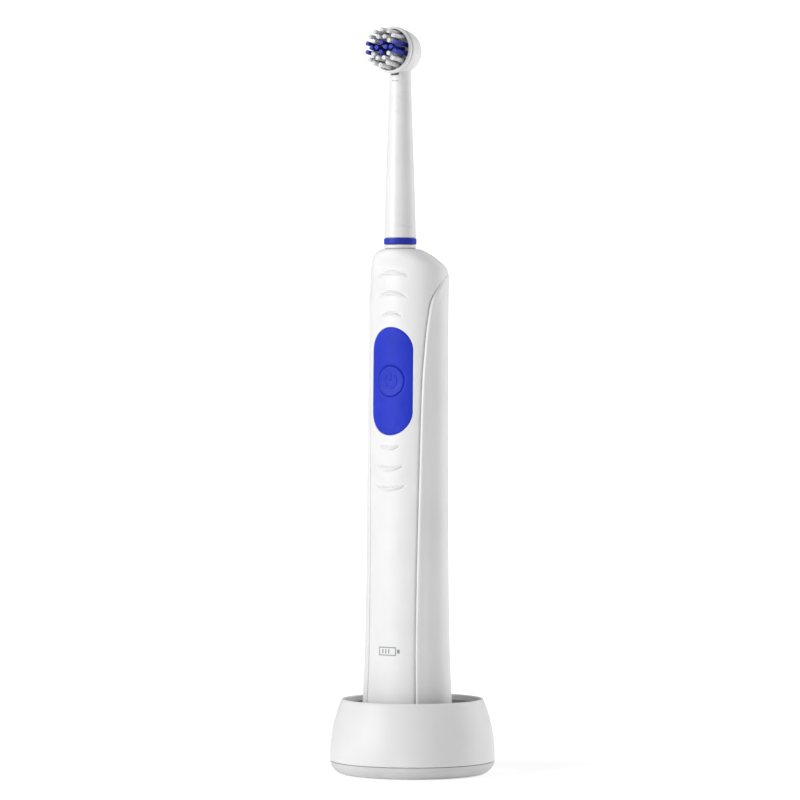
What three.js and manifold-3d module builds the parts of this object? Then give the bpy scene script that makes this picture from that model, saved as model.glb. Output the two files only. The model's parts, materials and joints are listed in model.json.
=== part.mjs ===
// Rotary electric toothbrush standing in its induction charger.
// Millimetres, +Z up, the front with its button towards -Y.
// The origin is the centre of the charger's flat underside.
import * as THREE from 'three';
import { mergeVertices } from 'three/addons/utils/BufferGeometryUtils.js';
import Module from 'manifold-3d';

const wasm = await Module();
wasm.setup();

// ---------------------------------------------------------------- driving dimensions

const GAP = 0.3;                  // left between pieces that touch on the real object
const RUNNING_GAP = 0.1;          // round a shaft in its bush
const FAR = 60;                   // reach of cutting solids

const CHARGER = {
  radius: 26.45, rimRadius: 22.75, height: 23.8, bulgeStart: 6, wall: 1.9,
  seam: 3.9, underRadius: 23.0, plateTop: 1.5, dishFloor: 7.6, floorUnder: 5.9,
};
const INLET = { halfWidth: 2.9, front: 20, back: 30, top: 8.6 };
const POST = { y: -3.2, radius: 4.2, top: 19.5, bore: 3.3, boreTop: 18.5 };

const AXIS_Y = -7.2;              // the drive shaft and the neck stand on this line
const HANDLE = { bottom: 7.9, shoulder: 158.3, top: 167.95, wall: 1.5 };
const CAP = { flangeTop: 9.4, plugTop: 13.4, wellTop: 22, wellBore: 4.8, wellRadius: 5.8 };

// Elliptical sections of the handle below the shoulder: height, centre y, half width, half depth
const HANDLE_SECTIONS = [
  [7.9, -3.2, 15.8, 12.4],
  [25, -3.1, 15.1, 11.9],
  [42, -3.05, 14.45, 11.4],
  [75, -2.85, 13.9, 10.95],
  [132, -2.5, 13.6, 10.7],
  [158, -1.65, 13.4, 10.5],
];
const SHOULDER_TOP = { y: AXIS_Y, halfWidth: 5.6, halfDepth: 5.0 };
const SHOULDER_POWER = 1.75;

// Where front and rear shells meet, seen from the side: y, z
const PARTING = [
  [-12.9, 7], [-12.6, 23], [-11.2, 75], [-10.1, 120], [-9.2, 136],
  [-8.2, 145.4], [-6.85, 151.9], [-3.2, 157.3], [3, 160.4], [14, 161.8],
];

const PAD = { bottom: 108.5, top: 142.9, halfWidth: 7.5, depth: 0.7 };
const BUTTON = { z: 125.7, radius: 4.9, thickness: 0.75 };

const COLLAR = {
  seat: 168.15, top: 169.2, radius: 5.2, bore: 2.9, spigotRadius: 4.3, spigotBottom: 164.5,
};
const RING = { bottom: 169.45, top: 171.3, radius: 5.25, bore: 4.75 };
const NECK = { foot: 171.6, footRadius: 5.07, top: 224, topRadius: 3.4, spigotRadius: 4.5 };
const NECK_BORE = { lowRadius: 3.7, step: 191, highRadius: 2.3, top: 228.2 };

const HEAD = { y: -12.8, z: 231.35, tilt: 3.5, discRadius: 7.7, discDepth: 2.0 };
const DISH = { radius: 6.5, depth: 1.5 };
const CUP = { front: 2.3, back: 11.0, radius: 7.2, power: 3.1, steps: 8, bore: 6.2, boreDepth: 5.5 };
const DISC_PIN = { radius: 0.7, bore: 0.9, back: 9 };
const BOSS = { radius: 4.55, depth: 4.5, slotHalfWidth: 1.1 };
const TUFT = { radius: 0.68, length: 7.4, web: 0.25 };

const SHAFT = { radius: 1.5, neckRadius: 1.7, bottom: 113.2, step: 166, top: 188, flat: 0.9 };
const CRANK_REACH = 2.4;          // crank pin of the link, ahead of the shaft's line
const CRANK_PIN = { radius: 0.5, bottom: 225.9, top: 229.4 };

const GEARS = { module: 0.4, pinionTeeth: 8, gearTeeth: 20, bottom: 109.7, thickness: 2.0 };
const MOTOR = { y: -2.2, radius: 9.6, halfDepth: 6.6, bottom: 83.3, top: 105, wall: 0.7 };
const MOTOR_SHAFT = { radius: 0.75, bore: 0.95, bottom: 82.2 };
const MAGNET = { bore: 6.0, bottom: 86, top: 101, sideStart: 4 };
const ARMATURE = { radius: 5.5, bottom: 88, top: 100, slotWidth: 2.2, slotFloor: 2.4 };
const ROCKER_LENGTH = 4.5;
const THROW = 2.0;                // eccentric pin from the gear's centre
const GEAR_BEARING = 20;          // degrees from +X, motor axis to gear axis
const BATTERY = { y: -2.2, radius: 7.0, bottom: 26, top: 76 };
const BOARD = { front: -11.2, back: -10.4, bottom: 28, top: 132, step: 58 };
const TOWER = { radius: 2.9, bore: 2.35, bottom: 119.5, top: 157 };

// ---------------------------------------------------------------- solids

// A closed triangle mesh as a solid, turned right side out.
function solid(geometry) {
  const bare = geometry.index ? geometry.toNonIndexed() : geometry.clone();
  bare.deleteAttribute('normal');
  bare.deleteAttribute('uv');
  const merged = mergeVertices(bare, 1e-4);
  const corners = merged.index.array;
  const triangles = [];
  for (let i = 0; i < corners.length; i += 3) {
    const [a, b, c] = corners.slice(i, i + 3);
    if (a !== b && b !== c && c !== a) triangles.push([a, b, c]);
  }
  const at = (i) => new THREE.Vector3().fromBufferAttribute(merged.attributes.position, i);
  const volume = triangles.reduce((sum, [a, b, c]) => sum + at(a).dot(at(b).cross(at(c))), 0);
  const outward = volume < 0 ? triangles.map(([a, b, c]) => [a, c, b]) : triangles;
  return new wasm.Manifold(new wasm.Mesh({
    numProp: 3,
    vertProperties: new Float32Array(merged.attributes.position.array),
    triVerts: new Uint32Array(outward.flat()),
  }));
}

function join(first, ...others) {
  return others.reduce((sum, other) => sum.add(other), first);
}

function cut(first, ...others) {
  return others.reduce((rest, other) => rest.subtract(other), first);
}

// A turned piece on a vertical line through (x, y); the profile is [radius, z] and closed.
function turned(profile, x = 0, y = 0, segments = 20) {
  const points = profile.map(([r, z]) => new THREE.Vector2(r, z));
  const closes = profile[0][0] === 0 && profile.at(-1)[0] === 0;
  if (!closes) points.push(points[0].clone());
  return solid(new THREE.LatheGeometry(points, segments).rotateX(Math.PI / 2).translate(x, y, 0));
}

function rod(radius, bottom, top, x = 0, y = 0, segments = 16) {
  return turned([[0, bottom], [radius, bottom], [radius, top], [0, top]], x, y, segments);
}

function sleeve(bore, radius, bottom, top, x = 0, y = 0, segments = 16) {
  return turned([[bore, bottom], [radius, bottom], [radius, top], [bore, top]], x, y, segments);
}

// A box from its lowest and highest corner.
function block([x0, y0, z0], [x1, y1, z1]) {
  const geometry = new THREE.BoxGeometry(x1 - x0, y1 - y0, z1 - z0);
  return solid(geometry.translate((x0 + x1) / 2, (y0 + y1) / 2, (z0 + z1) / 2));
}

// A flat outline in X and Y, raised from bottom to top.
function raised(shape, bottom, top, curveSegments = 6) {
  const settings = { depth: top - bottom, bevelEnabled: false, curveSegments };
  return solid(new THREE.ExtrudeGeometry(shape, settings).translate(0, 0, bottom));
}

// A solid skinned over rings of points, all with the same count.
function lofted(rings) {
  const count = rings[0].length;
  const last = rings.length - 1;
  const positions = rings.flat().flatMap((p) => [p.x, p.y, p.z]);
  const middle = (ring) => ring.reduce((sum, p) => sum.add(p), new THREE.Vector3())
    .divideScalar(count);
  const index = [];
  for (let k = 0; k < last; k += 1) {
    for (let i = 0; i < count; i += 1) {
      const j = (i + 1) % count;
      const [a, b] = [k * count + i, k * count + j];
      index.push(a, b, b + count, a, b + count, a + count);
    }
  }
  for (const [k, flip] of [[0, true], [last, false]]) {
    const centre = positions.length / 3;
    positions.push(...middle(rings[k]));
    for (let i = 0; i < count; i += 1) {
      const [a, b] = [k * count + i, k * count + ((i + 1) % count)];
      index.push(...(flip ? [b, a, centre] : [a, b, centre]));
    }
  }
  const geometry = new THREE.BufferGeometry();
  geometry.setAttribute('position', new THREE.Float32BufferAttribute(positions, 3));
  geometry.setIndex(index);
  return solid(geometry);
}

// ---------------------------------------------------------------- the handle's form

const sectionCurves = [1, 2, 3].map((column) => new THREE.SplineCurve(
  HANDLE_SECTIONS.map((row) => new THREE.Vector2(row[0], row[column])),
));

// The value of one section curve at a height, by halving the span until it is found.
function along(curve, z) {
  let [low, high] = [0, 1];
  for (let step = 0; step < 24; step += 1) {
    const middle = (low + high) / 2;
    if (curve.getPoint(middle).x < z) low = middle;
    else high = middle;
  }
  return curve.getPoint(low).y;
}

function handleSection(z) {
  const [y, halfWidth, halfDepth] = sectionCurves.map((curve) => (
    along(curve, Math.min(z, HANDLE.shoulder))));
  if (z <= HANDLE.shoulder) return { y, halfWidth, halfDepth };
  const rise = Math.min(1, (z - HANDLE.shoulder) / (HANDLE.top - HANDLE.shoulder));
  const fullness = (1 - rise ** SHOULDER_POWER) ** (1 / SHOULDER_POWER);
  const { lerp } = THREE.MathUtils;
  return {
    y: lerp(SHOULDER_TOP.y, y, fullness ** 2),
    halfWidth: lerp(SHOULDER_TOP.halfWidth, halfWidth, fullness),
    halfDepth: lerp(SHOULDER_TOP.halfDepth, halfDepth, fullness),
  };
}

function handleRing(z, inset, count) {
  const { y, halfWidth, halfDepth } = handleSection(z);
  return Array.from({ length: count }, (_, i) => {
    const angle = (2 * Math.PI * (i + 0.5)) / count;
    return new THREE.Vector3(
      (halfWidth - inset) * Math.cos(angle),
      y + (halfDepth - inset) * Math.sin(angle),
      z,
    );
  });
}

function handleForm(heights, inset, count = 28) {
  return lofted(heights.map((z) => handleRing(z, inset, count)));
}

// Heights with one more at each end of the span between bottom and top.
function heightsBetween(bottom, top) {
  const marks = [25, 75, 132, 150, 158, 161, 163.4, 165.2, 166.6, 167.6];
  return [bottom, ...marks.filter((z) => z > bottom + 0.2 && z < top - 0.2), top];
}

// The half of space in front of the parting line, moved by a small step.
function frontRegion(dy = 0, dz = 0) {
  const line = new THREE.SplineCurve(PARTING.map(([y, z]) => new THREE.Vector2(y + dy, z + dz)));
  const points = line.getPoints(16);
  const [first, last] = [points[0], points.at(-1)];
  const outline = [
    new THREE.Vector2(first.x, -FAR / 2), ...points,
    new THREE.Vector2(FAR, last.y), new THREE.Vector2(FAR, 200),
    new THREE.Vector2(-FAR, 200), new THREE.Vector2(-FAR, -FAR / 2),
  ];
  const settings = { depth: 2 * FAR, bevelEnabled: false };
  const prism = new THREE.ExtrudeGeometry(new THREE.Shape(outline), settings);
  // outline x -> Y, outline y -> Z, depth -> X
  const turn = new THREE.Matrix4().makeBasis(
    new THREE.Vector3(0, 1, 0), new THREE.Vector3(0, 0, 1), new THREE.Vector3(1, 0, 0),
  );
  return solid(prism.applyMatrix4(turn).translate(-FAR, 0, 0));
}

// A prism along Y through the handle's front wall.
function throughFront(shape) {
  const settings = { depth: 20, bevelEnabled: false, curveSegments: 14 };
  const prism = new THREE.ExtrudeGeometry(shape, settings).rotateX(Math.PI / 2);
  return solid(prism.translate(0, -4, 0));
}

function stadium(margin) {
  const r = PAD.halfWidth + margin;
  const shape = new THREE.Shape();
  shape.absarc(0, PAD.top - PAD.halfWidth, r, 0, Math.PI);
  shape.absarc(0, PAD.bottom + PAD.halfWidth, r, Math.PI, 2 * Math.PI);
  return shape;
}

function circle(radius, x, y) {
  return new THREE.Shape().absarc(x, y, radius, 0, 2 * Math.PI);
}

// ---------------------------------------------------------------- charger

const chargerRadius = (z) => {
  const rise = Math.max(0, (z - CHARGER.bulgeStart) / (CHARGER.height - CHARGER.bulgeStart));
  return CHARGER.radius - (CHARGER.radius - CHARGER.rimRadius) * rise ** 2;
};

// The notch for the cord's grommet, open at the back, from a height up.
function inletSlot(bottom) {
  const { halfWidth, front, back, top } = INLET;
  return block([-halfWidth, front, bottom], [halfWidth, back, top]);
}

function chargerBody() {
  const rimRound = 0.6;
  const outerHeights = [4.2, 6, 11, 15, 19, CHARGER.height - rimRound];
  const outer = outerHeights.map((z) => [chargerRadius(z), z]);
  const rim = [
    [chargerRadius(CHARGER.height) - 0.4, CHARGER.height],
    [chargerRadius(CHARGER.height) - CHARGER.wall + 0.4, CHARGER.height],
  ];
  const innerHeights = [CHARGER.height - rimRound, 17, 9.4];
  const inner = innerHeights.map((z) => [chargerRadius(z) - CHARGER.wall, z]);
  const shell = turned([
    ...outer, ...rim, ...inner,
    [22.6, CHARGER.dishFloor], [0, CHARGER.dishFloor], [0, CHARGER.floorUnder],
    [24.3, CHARGER.floorUnder], [24.3, 4.2],
  ], 0, 0, 40);
  const post = turned([
    [0, CHARGER.floorUnder], [POST.radius, CHARGER.floorUnder], [POST.radius, POST.top - 0.8],
    [POST.radius - 0.8, POST.top], [0, POST.top],
  ], 0, POST.y);
  const bore = rod(POST.bore, 0, POST.boreTop, 0, POST.y);
  return cut(join(shell, post), bore, inletSlot(0));
}

function chargerBasePlate() {
  const top = CHARGER.seam;
  const lip = top - GAP;
  const under = CHARGER.underRadius;
  const plate = turned([
    [0, 0], [under, 0], [24.2, 0.45], [25.3, 1.4], [26.1, 2.5], [CHARGER.radius, top],
    [24.6, top], [24.0, lip], [23.6, CHARGER.plateTop], [0, CHARGER.plateTop],
  ], 0, 0, 40);
  return cut(plate, inletSlot(CHARGER.plateTop + 0.1));
}

// The cord's grommet, set in the rear wall without standing out of it.
function cordGrommet() {
  const half = INLET.halfWidth - GAP;
  const [bottom, top] = [CHARGER.plateTop + 0.4, INLET.top - GAP];
  const body = block([-half, INLET.front + 0.6, bottom], [half, CHARGER.radius, top]);
  const bore = new THREE.CylinderGeometry(1.6, 1.6, 12, 12);
  return cut(body, solid(bore.translate(0, INLET.front + 4, (bottom + top) / 2)));
}

function chargerFerriteCore() {
  return rod(1.5, 3.7, 18.1, 0, POST.y);
}

// A winding former: a tube with a flange at each end.
function former(bore, tube, flange, bottom, top, y, lip = 0.6) {
  return turned([
    [bore, bottom], [flange, bottom], [flange, bottom + lip], [tube, bottom + lip],
    [tube, top - lip], [flange, top - lip], [flange, top], [bore, top],
  ], 0, y);
}

function winding(tube, radius, bottom, top, y) {
  return sleeve(tube, radius, bottom, top, 0, y);
}

function chargerBoard() {
  const outline = circle(19.5, 0, 0);
  outline.holes.push(new THREE.Path().absarc(0, POST.y, 3.6, 0, 2 * Math.PI));
  return raised(outline, 2.2, 3.2, 12);
}

function chargerCapacitor() {
  return solid(new THREE.CylinderGeometry(1.0, 1.0, 9, 12).translate(12.5, 2, 4.55));
}

// ---------------------------------------------------------------- handle shells and trim

const shellBottom = CAP.flangeTop + GAP;

function handleWall() {
  const outer = handleForm(heightsBetween(shellBottom, HANDLE.top), 0);
  const hollow = handleForm(
    [shellBottom - 1, ...heightsBetween(shellBottom, HANDLE.shoulder), 162.5, 165.2],
    HANDLE.wall,
  );
  const mouth = rod(COLLAR.spigotRadius + GAP, 160, 175, 0, AXIS_Y, 20);
  return cut(outer, hollow, mouth);
}

// Heights of the rings that carry the pad and its recess
const padHeights = [104, 118, 132, 148];

function frontShell(wall) {
  const layer = handleForm(padHeights, PAD.depth + GAP);
  const skin = cut(throughFront(stadium(0.2)), layer);
  const buttonHole = throughFront(circle(BUTTON.radius + 0.4, 0, BUTTON.z));
  return cut(wall.intersect(frontRegion()), skin, buttonHole);
}

function rearShell(wall) {
  return cut(wall, frontRegion(0.25, -0.25));
}

function controlPad() {
  const layer = cut(handleForm(padHeights, 0), handleForm([100, ...padHeights, 150], PAD.depth));
  const hole = throughFront(circle(BUTTON.radius + GAP, 0, BUTTON.z));
  return cut(layer.intersect(throughFront(stadium(0))), hole);
}

function powerButton() {
  const outer = handleForm([116, 125.7, 136], -0.1);
  const inner = handleForm([115, 125.7, 137], BUTTON.thickness);
  return cut(outer, inner).intersect(throughFront(circle(BUTTON.radius, 0, BUTTON.z)));
}

function alongFront(radius, back, front, z) {
  const pin = new THREE.CylinderGeometry(radius, radius, back - front, 12);
  return solid(pin.translate(0, (back + front) / 2, z));
}

function switchPlunger() {
  return alongFront(0.9, -11.75, -12.3, BUTTON.z);
}

function tactSwitch() {
  const body = block([-2.2, -11.95, BUTTON.z - 2.2], [2.2, -11.3, BUTTON.z + 2.2]);
  return cut(body, alongFront(1.1, -11.42, -13, BUTTON.z));
}

function topCollar() {
  const { seat, top, radius, bore, spigotRadius, spigotBottom } = COLLAR;
  return turned([
    [bore, spigotBottom], [spigotRadius, spigotBottom], [spigotRadius, seat], [radius - 0.1, seat],
    [radius, seat + 0.3], [radius, top - 0.2], [radius - 0.2, top], [bore, top],
  ], 0, AXIS_Y);
}

function shaftSeal() {
  return sleeve(SHAFT.neckRadius + RUNNING_GAP, 2.6, 166.2, COLLAR.top - 0.2, 0, AXIS_Y);
}

// ---------------------------------------------------------------- handle base

// One ring of the cap's sections, which follow the handle's own ellipse.
function capRing(z, inset) {
  return handleRing(z, inset, 24);
}

function bottomCap() {
  const flange = lofted([
    capRing(HANDLE.bottom, 1.2), capRing(HANDLE.bottom + 0.5, 0.5),
    capRing(CAP.flangeTop, 0.1),
  ]);
  const plug = lofted([capRing(CAP.flangeTop - 0.2, 1.9), capRing(CAP.plugTop, 1.9)]);
  const groove = cut(
    lofted([capRing(10.6, 0), capRing(12.0, 0)]),
    lofted([capRing(10.5, 2.7), capRing(12.1, 2.7)]),
  );
  const hollow = lofted([capRing(CAP.flangeTop, 3.9), capRing(CAP.plugTop + 1, 3.9)]);
  const well = rod(CAP.wellRadius, HANDLE.bottom, CAP.wellTop, 0, POST.y);
  const bore = rod(CAP.wellBore, 0, CAP.wellTop - 1, 0, POST.y);
  return cut(join(cut(join(flange, plug), hollow, groove), well), bore);
}

function bottomSeal() {
  const ring = lofted([
    capRing(10.75, 1.95), capRing(11.05, 1.65), capRing(11.55, 1.65),
    capRing(11.85, 1.95),
  ]);
  return cut(ring, lofted([capRing(10, 2.55), capRing(12.6, 2.55)]));
}

// ---------------------------------------------------------------- inside the handle

const motorAxis = new THREE.Vector2(0, MOTOR.y);
const gearCentres = (GEARS.module * (GEARS.pinionTeeth + GEARS.gearTeeth)) / 2;
const gearAxis = new THREE.Vector2(gearCentres, 0)
  .rotateAround(new THREE.Vector2(), THREE.MathUtils.degToRad(GEAR_BEARING)).add(motorAxis);
const shaftAxis = new THREE.Vector2(0, AXIS_Y);

// At mid swing the rocker stands square to the connecting rod.
const toGear = gearAxis.clone().sub(shaftAxis);
const rockerAngle = toGear.angle() + Math.acos(ROCKER_LENGTH / toGear.length());
const rodPivot = new THREE.Vector2(ROCKER_LENGTH, 0)
  .rotateAround(new THREE.Vector2(), rockerAngle).add(shaftAxis);
const rodDirection = gearAxis.clone().sub(rodPivot).normalize();
const crankPin = new THREE.Vector2(rodDirection.y, -rodDirection.x)
  .multiplyScalar(THROW).add(gearAxis);

// A bar with round ends between two points of the plan.
function link(from, to, halfWidth, bottom, top) {
  const angle = to.clone().sub(from).angle();
  const shape = new THREE.Shape();
  shape.absarc(from.x, from.y, halfWidth, angle + Math.PI / 2, angle + 1.5 * Math.PI);
  shape.absarc(to.x, to.y, halfWidth, angle - Math.PI / 2, angle + Math.PI / 2);
  return raised(shape, bottom, top, 6);
}

// A spur gear with plain tapered teeth; phase is the first tooth's direction.
function spurGear(teeth, centre, phase, bore) {
  const pitch = (GEARS.module * teeth) / 2;
  const [root, tip] = [pitch - 1.3 * GEARS.module, pitch + 0.75 * GEARS.module];
  const step = (2 * Math.PI) / teeth;
  const points = [];
  for (let i = 0; i < teeth; i += 1) {
    const middle = phase + i * step;
    const corners = [[root, -0.27], [tip, -0.09], [tip, 0.09], [root, 0.27]];
    for (const [radius, share] of corners) {
      const angle = middle + share * step;
      points.push(new THREE.Vector2(radius, 0).rotateAround(new THREE.Vector2(), angle)
        .add(centre));
    }
  }
  const shape = new THREE.Shape(points);
  shape.holes.push(new THREE.Path().absarc(centre.x, centre.y, bore, 0, 2 * Math.PI));
  return raised(shape, GEARS.bottom, GEARS.bottom + GEARS.thickness, 8);
}

const meshAngle = THREE.MathUtils.degToRad(GEAR_BEARING);

function motorPinion() {
  return spurGear(GEARS.pinionTeeth, motorAxis, meshAngle, 0.83);
}

function eccentricGear() {
  const gapPhase = meshAngle + Math.PI + Math.PI / GEARS.gearTeeth;
  const gear = spurGear(GEARS.gearTeeth, gearAxis, gapPhase, 0.9);
  const top = GEARS.bottom + GEARS.thickness;
  return join(gear, rod(0.6, top - 0.5, top + 1.1, crankPin.x, crankPin.y, 16));
}

function connectingRod() {
  const [bottom, top] = [113.1, 114.3];
  const bar = join(
    link(rodPivot, crankPin, 0.9, bottom, top),
    rod(1.6, bottom, top, rodPivot.x, rodPivot.y), rod(1.6, bottom, top, crankPin.x, crankPin.y),
  );
  return cut(
    bar,
    rod(0.85, bottom - 1, top + 1, rodPivot.x, rodPivot.y),
    rod(0.85, bottom - 1, top + 1, crankPin.x, crankPin.y),
  );
}

function rockerArm() {
  const [bottom, top] = [114.6, 116.4];
  const arm = join(
    rod(2.3, bottom, top, shaftAxis.x, shaftAxis.y),
    link(shaftAxis, rodPivot, 1.4, bottom, top),
    rod(0.6, 112.9, bottom + 0.5, rodPivot.x, rodPivot.y, 16),
  );
  return cut(arm, rod(SHAFT.radius + RUNNING_GAP, 110, 120, shaftAxis.x, shaftAxis.y));
}

// The steel drive shaft, with a flat on its free end for the brush.
function driveShaft() {
  const { radius, neckRadius, bottom, step, top, flat } = SHAFT;
  const shaft = turned([
    [0, bottom], [radius, bottom], [radius, step - 3], [neckRadius, step],
    [neckRadius, top - 0.5], [neckRadius - 0.5, top], [0, top],
  ], 0, AXIS_Y, 16);
  return cut(shaft, block([-3, AXIS_Y - 3, 174], [3, AXIS_Y - flat, top + 1]));
}

function shaftBush(bottom, top) {
  return sleeve(SHAFT.radius + RUNNING_GAP, TOWER.bore - 0.15, bottom, top, 0, AXIS_Y);
}

function motorOutline(radius, halfDepth) {
  const corner = Math.asin(halfDepth / radius);
  const shape = new THREE.Shape();
  shape.absarc(0, MOTOR.y, radius, -corner, corner);
  shape.absarc(0, MOTOR.y, radius, Math.PI - corner, Math.PI + corner);
  return shape;
}

function motorCan() {
  const { radius, halfDepth, bottom, top, wall } = MOTOR;
  const can = cut(
    raised(motorOutline(radius, halfDepth), bottom, top),
    raised(motorOutline(radius - wall, halfDepth - wall), bottom - 1, top - wall),
  );
  const boss = rod(3, top - 0.2, top + 1.5, 0, MOTOR.y);
  return cut(join(can, boss), rod(MOTOR_SHAFT.bore, 90, 120, 0, MOTOR.y));
}

function motorEndCap() {
  const { radius, halfDepth, bottom } = MOTOR;
  const plate = raised(motorOutline(radius, halfDepth), bottom - GAP - 1.6, bottom - GAP);
  return cut(plate, rod(MOTOR_SHAFT.bore, 70, 90, 0, MOTOR.y));
}

// One arc magnet inside the can's round side.
function motorMagnet(side) {
  const { bore, bottom, top, sideStart } = MAGNET;
  const outside = raised(motorOutline(MOTOR.radius - 1.0, MOTOR.halfDepth - 1.2), bottom, top);
  const inside = rod(bore, bottom - 1, top + 1, 0, MOTOR.y, 24);
  const [left, right] = side > 0 ? [-FAR, sideStart] : [-sideStart, FAR];
  return cut(outside, inside, block([left, -FAR, 0], [right, FAR, 2 * FAR]));
}

function motorArmature() {
  const { radius, bottom, top, slotWidth, slotFloor } = ARMATURE;
  const slots = [0, 1, 2].map((i) => {
    const angle = Math.PI / 6 + (i * 2 * Math.PI) / 3;
    const slot = new THREE.BoxGeometry(4, slotWidth, 30);
    slot.translate(slotFloor + 2, 0, (bottom + top) / 2);
    return solid(slot.rotateZ(angle).translate(0, MOTOR.y, 0));
  });
  const core = sleeve(MOTOR_SHAFT.radius + RUNNING_GAP, radius, bottom, top, 0, MOTOR.y, 24);
  return cut(core, ...slots);
}

function motorShaft() {
  const top = GEARS.bottom + GEARS.thickness + 0.6;
  return rod(MOTOR_SHAFT.radius, MOTOR_SHAFT.bottom, top, 0, MOTOR.y);
}

function commutator() {
  return sleeve(MOTOR_SHAFT.radius + RUNNING_GAP, 2.1, 84.2, 87.5, 0, MOTOR.y);
}

function gearAxle() {
  return rod(0.8, 107.8, 112.2, gearAxis.x, gearAxis.y);
}

// A deck across the inside of the handle, open at the front for the circuit board.
function deck(bottom, top) {
  const plate = handleForm([bottom, top], HANDLE.wall + 0.5, 24);
  return cut(plate, block([-20, -20, bottom - 1], [20, BOARD.back + 0.6, top + 1]));
}

// The inner frame that carries battery, motor, gears and shaft.
function chassis() {
  const trough = cut(
    sleeve(BATTERY.radius + GAP, 8.0, 24, 80, 0, BATTERY.y, 28),
    block([-20, -20, 20], [20, BATTERY.y, 90]),
  );
  const lowerDeck = deck(79.3, 80.8);
  const gearDeck = deck(107.4, 109.1);
  const towerDeck = deck(118, TOWER.bottom);
  const tower = rod(TOWER.radius, 118, TOWER.top, 0, AXIS_Y, 20);
  const rightRail = block([10.4, -5, 79.3], [11.3, 0, TOWER.bottom]);
  const leftRail = block([-11.3, -5, 79.3], [-10.4, 0, TOWER.bottom]);
  const frame = join(trough, lowerDeck, gearDeck, towerDeck, rightRail, leftRail, tower);
  return cut(
    frame,
    rod(TOWER.bore, 100, 160, 0, AXIS_Y, 20),
    rod(1.2, 106, 110, 0, MOTOR.y, 12),
    rod(1.1, 106, 110, gearAxis.x, gearAxis.y, 12),
    rod(1.6, 79, 82, 0, MOTOR.y, 12),
  );
}

function batteryCell() {
  const { y, radius, bottom, top } = BATTERY;
  return turned([
    [0, bottom], [radius - 0.4, bottom], [radius, bottom + 0.4], [radius, top - 0.4],
    [radius - 0.4, top], [2.7, top], [2.7, top + 1], [0, top + 1],
  ], 0, y, 24);
}

function batteryTab(bottom) {
  const plate = block([-3, BATTERY.y - 2.5, bottom], [3, BATTERY.y + 2.5, bottom + 0.3]);
  const tail = block([-1.2, BOARD.back + 0.4, bottom], [1.2, BATTERY.y, bottom + 0.3]);
  return join(plate, tail);
}

function mainBoard() {
  const { front, back, bottom, top, step } = BOARD;
  return join(
    block([-6, front, bottom], [6, back, step]),
    block([-3.5, front, step - 1], [3.5, back, top]),
  );
}

function chargeLed() {
  return block([-1.6, -11.95, 38.8], [1.6, -11.35, 40.6]);
}

// ---------------------------------------------------------------- brush head

// Head pieces are made square to Y with their origin at the disc's face, then tilted into place.
function tilted(piece) {
  const matrix = new THREE.Matrix4()
    .makeRotationX(THREE.MathUtils.degToRad(-HEAD.tilt))
    .setPosition(0, HEAD.y, HEAD.z);
  return piece.transform(matrix.toArray());
}

// A piece turned about the head's axis; the profile is [radius, depth behind the face].
function turnedHead(profile, segments = 32) {
  const points = profile.map(([r, depth]) => new THREE.Vector2(r, depth));
  const closes = profile[0][0] === 0 && profile.at(-1)[0] === 0;
  if (!closes) points.push(points[0].clone());
  return solid(new THREE.LatheGeometry(points, segments));
}

function headRod(radius, front, back, x = 0, z = 0, segments = 24) {
  const pin = new THREE.CylinderGeometry(radius, radius, back - front, segments);
  return solid(pin.translate(x, (front + back) / 2, z));
}

function brushNeck() {
  const stem = turned([
    [0, RING.bottom], [NECK.spigotRadius, RING.bottom], [NECK.spigotRadius, NECK.foot],
    [NECK.footRadius, NECK.foot], [4.5, 191], [4.0, 205], [3.62, 216], [NECK.topRadius, NECK.top],
    [NECK.topRadius, 230], [0, 230],
  ], 0, AXIS_Y, 24);
  const cupProfile = [[0, CUP.front]];
  for (let i = 0; i <= CUP.steps; i += 1) {
    const share = Math.sin((i / CUP.steps) * (Math.PI / 2));
    const radius = CUP.radius * (1 - share ** CUP.power) ** (1 / CUP.power);
    cupProfile.push([radius, CUP.front + share * (CUP.back - CUP.front)]);
  }
  const cup = tilted(turnedHead(cupProfile));
  const recess = tilted(headRod(CUP.bore, 0, CUP.boreDepth, 0, 0, 28));
  const pinHole = tilted(headRod(DISC_PIN.bore, 0, DISC_PIN.back + 0.2, 0, 0, 12));
  const bore = turned([
    [0, 160], [NECK_BORE.lowRadius, 160], [NECK_BORE.lowRadius, NECK_BORE.step],
    [NECK_BORE.highRadius, NECK_BORE.step + 2], [NECK_BORE.highRadius, NECK_BORE.top],
    [0, NECK_BORE.top],
  ], 0, AXIS_Y, 20);
  return cut(join(stem, cup), recess, pinHole, bore);
}

function colorRing() {
  const { bottom, top, radius, bore } = RING;
  return turned([
    [bore, bottom], [radius - 0.15, bottom], [radius, bottom + 0.15], [radius, top - 0.15],
    [radius - 0.15, top], [bore, top],
  ], 0, AXIS_Y, 28);
}

function bristleDisc() {
  const { discRadius, discDepth } = HEAD;
  const disc = turnedHead([
    [0, DISH.depth], [DISH.radius, DISH.depth], [DISH.radius, 0.2], [DISH.radius + 0.2, 0],
    [discRadius - 0.2, 0], [discRadius, 0.25], [discRadius, discDepth - 0.3],
    [discRadius - 0.3, discDepth], [BOSS.radius, discDepth], [BOSS.radius, BOSS.depth],
    [0, BOSS.depth],
  ]);
  const slot = block(
    [-BOSS.slotHalfWidth, discDepth + 0.25, -9], [BOSS.slotHalfWidth, BOSS.depth + 2, -1.6],
  );
  const pinHole = headRod(DISC_PIN.bore, DISH.depth + 0.4, 8, 0, 0, 12);
  return tilted(cut(disc, slot, pinHole));
}

function discPin() {
  return tilted(headRod(DISC_PIN.radius, DISH.depth + 0.7, DISC_PIN.back, 0, 0, 12));
}

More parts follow.
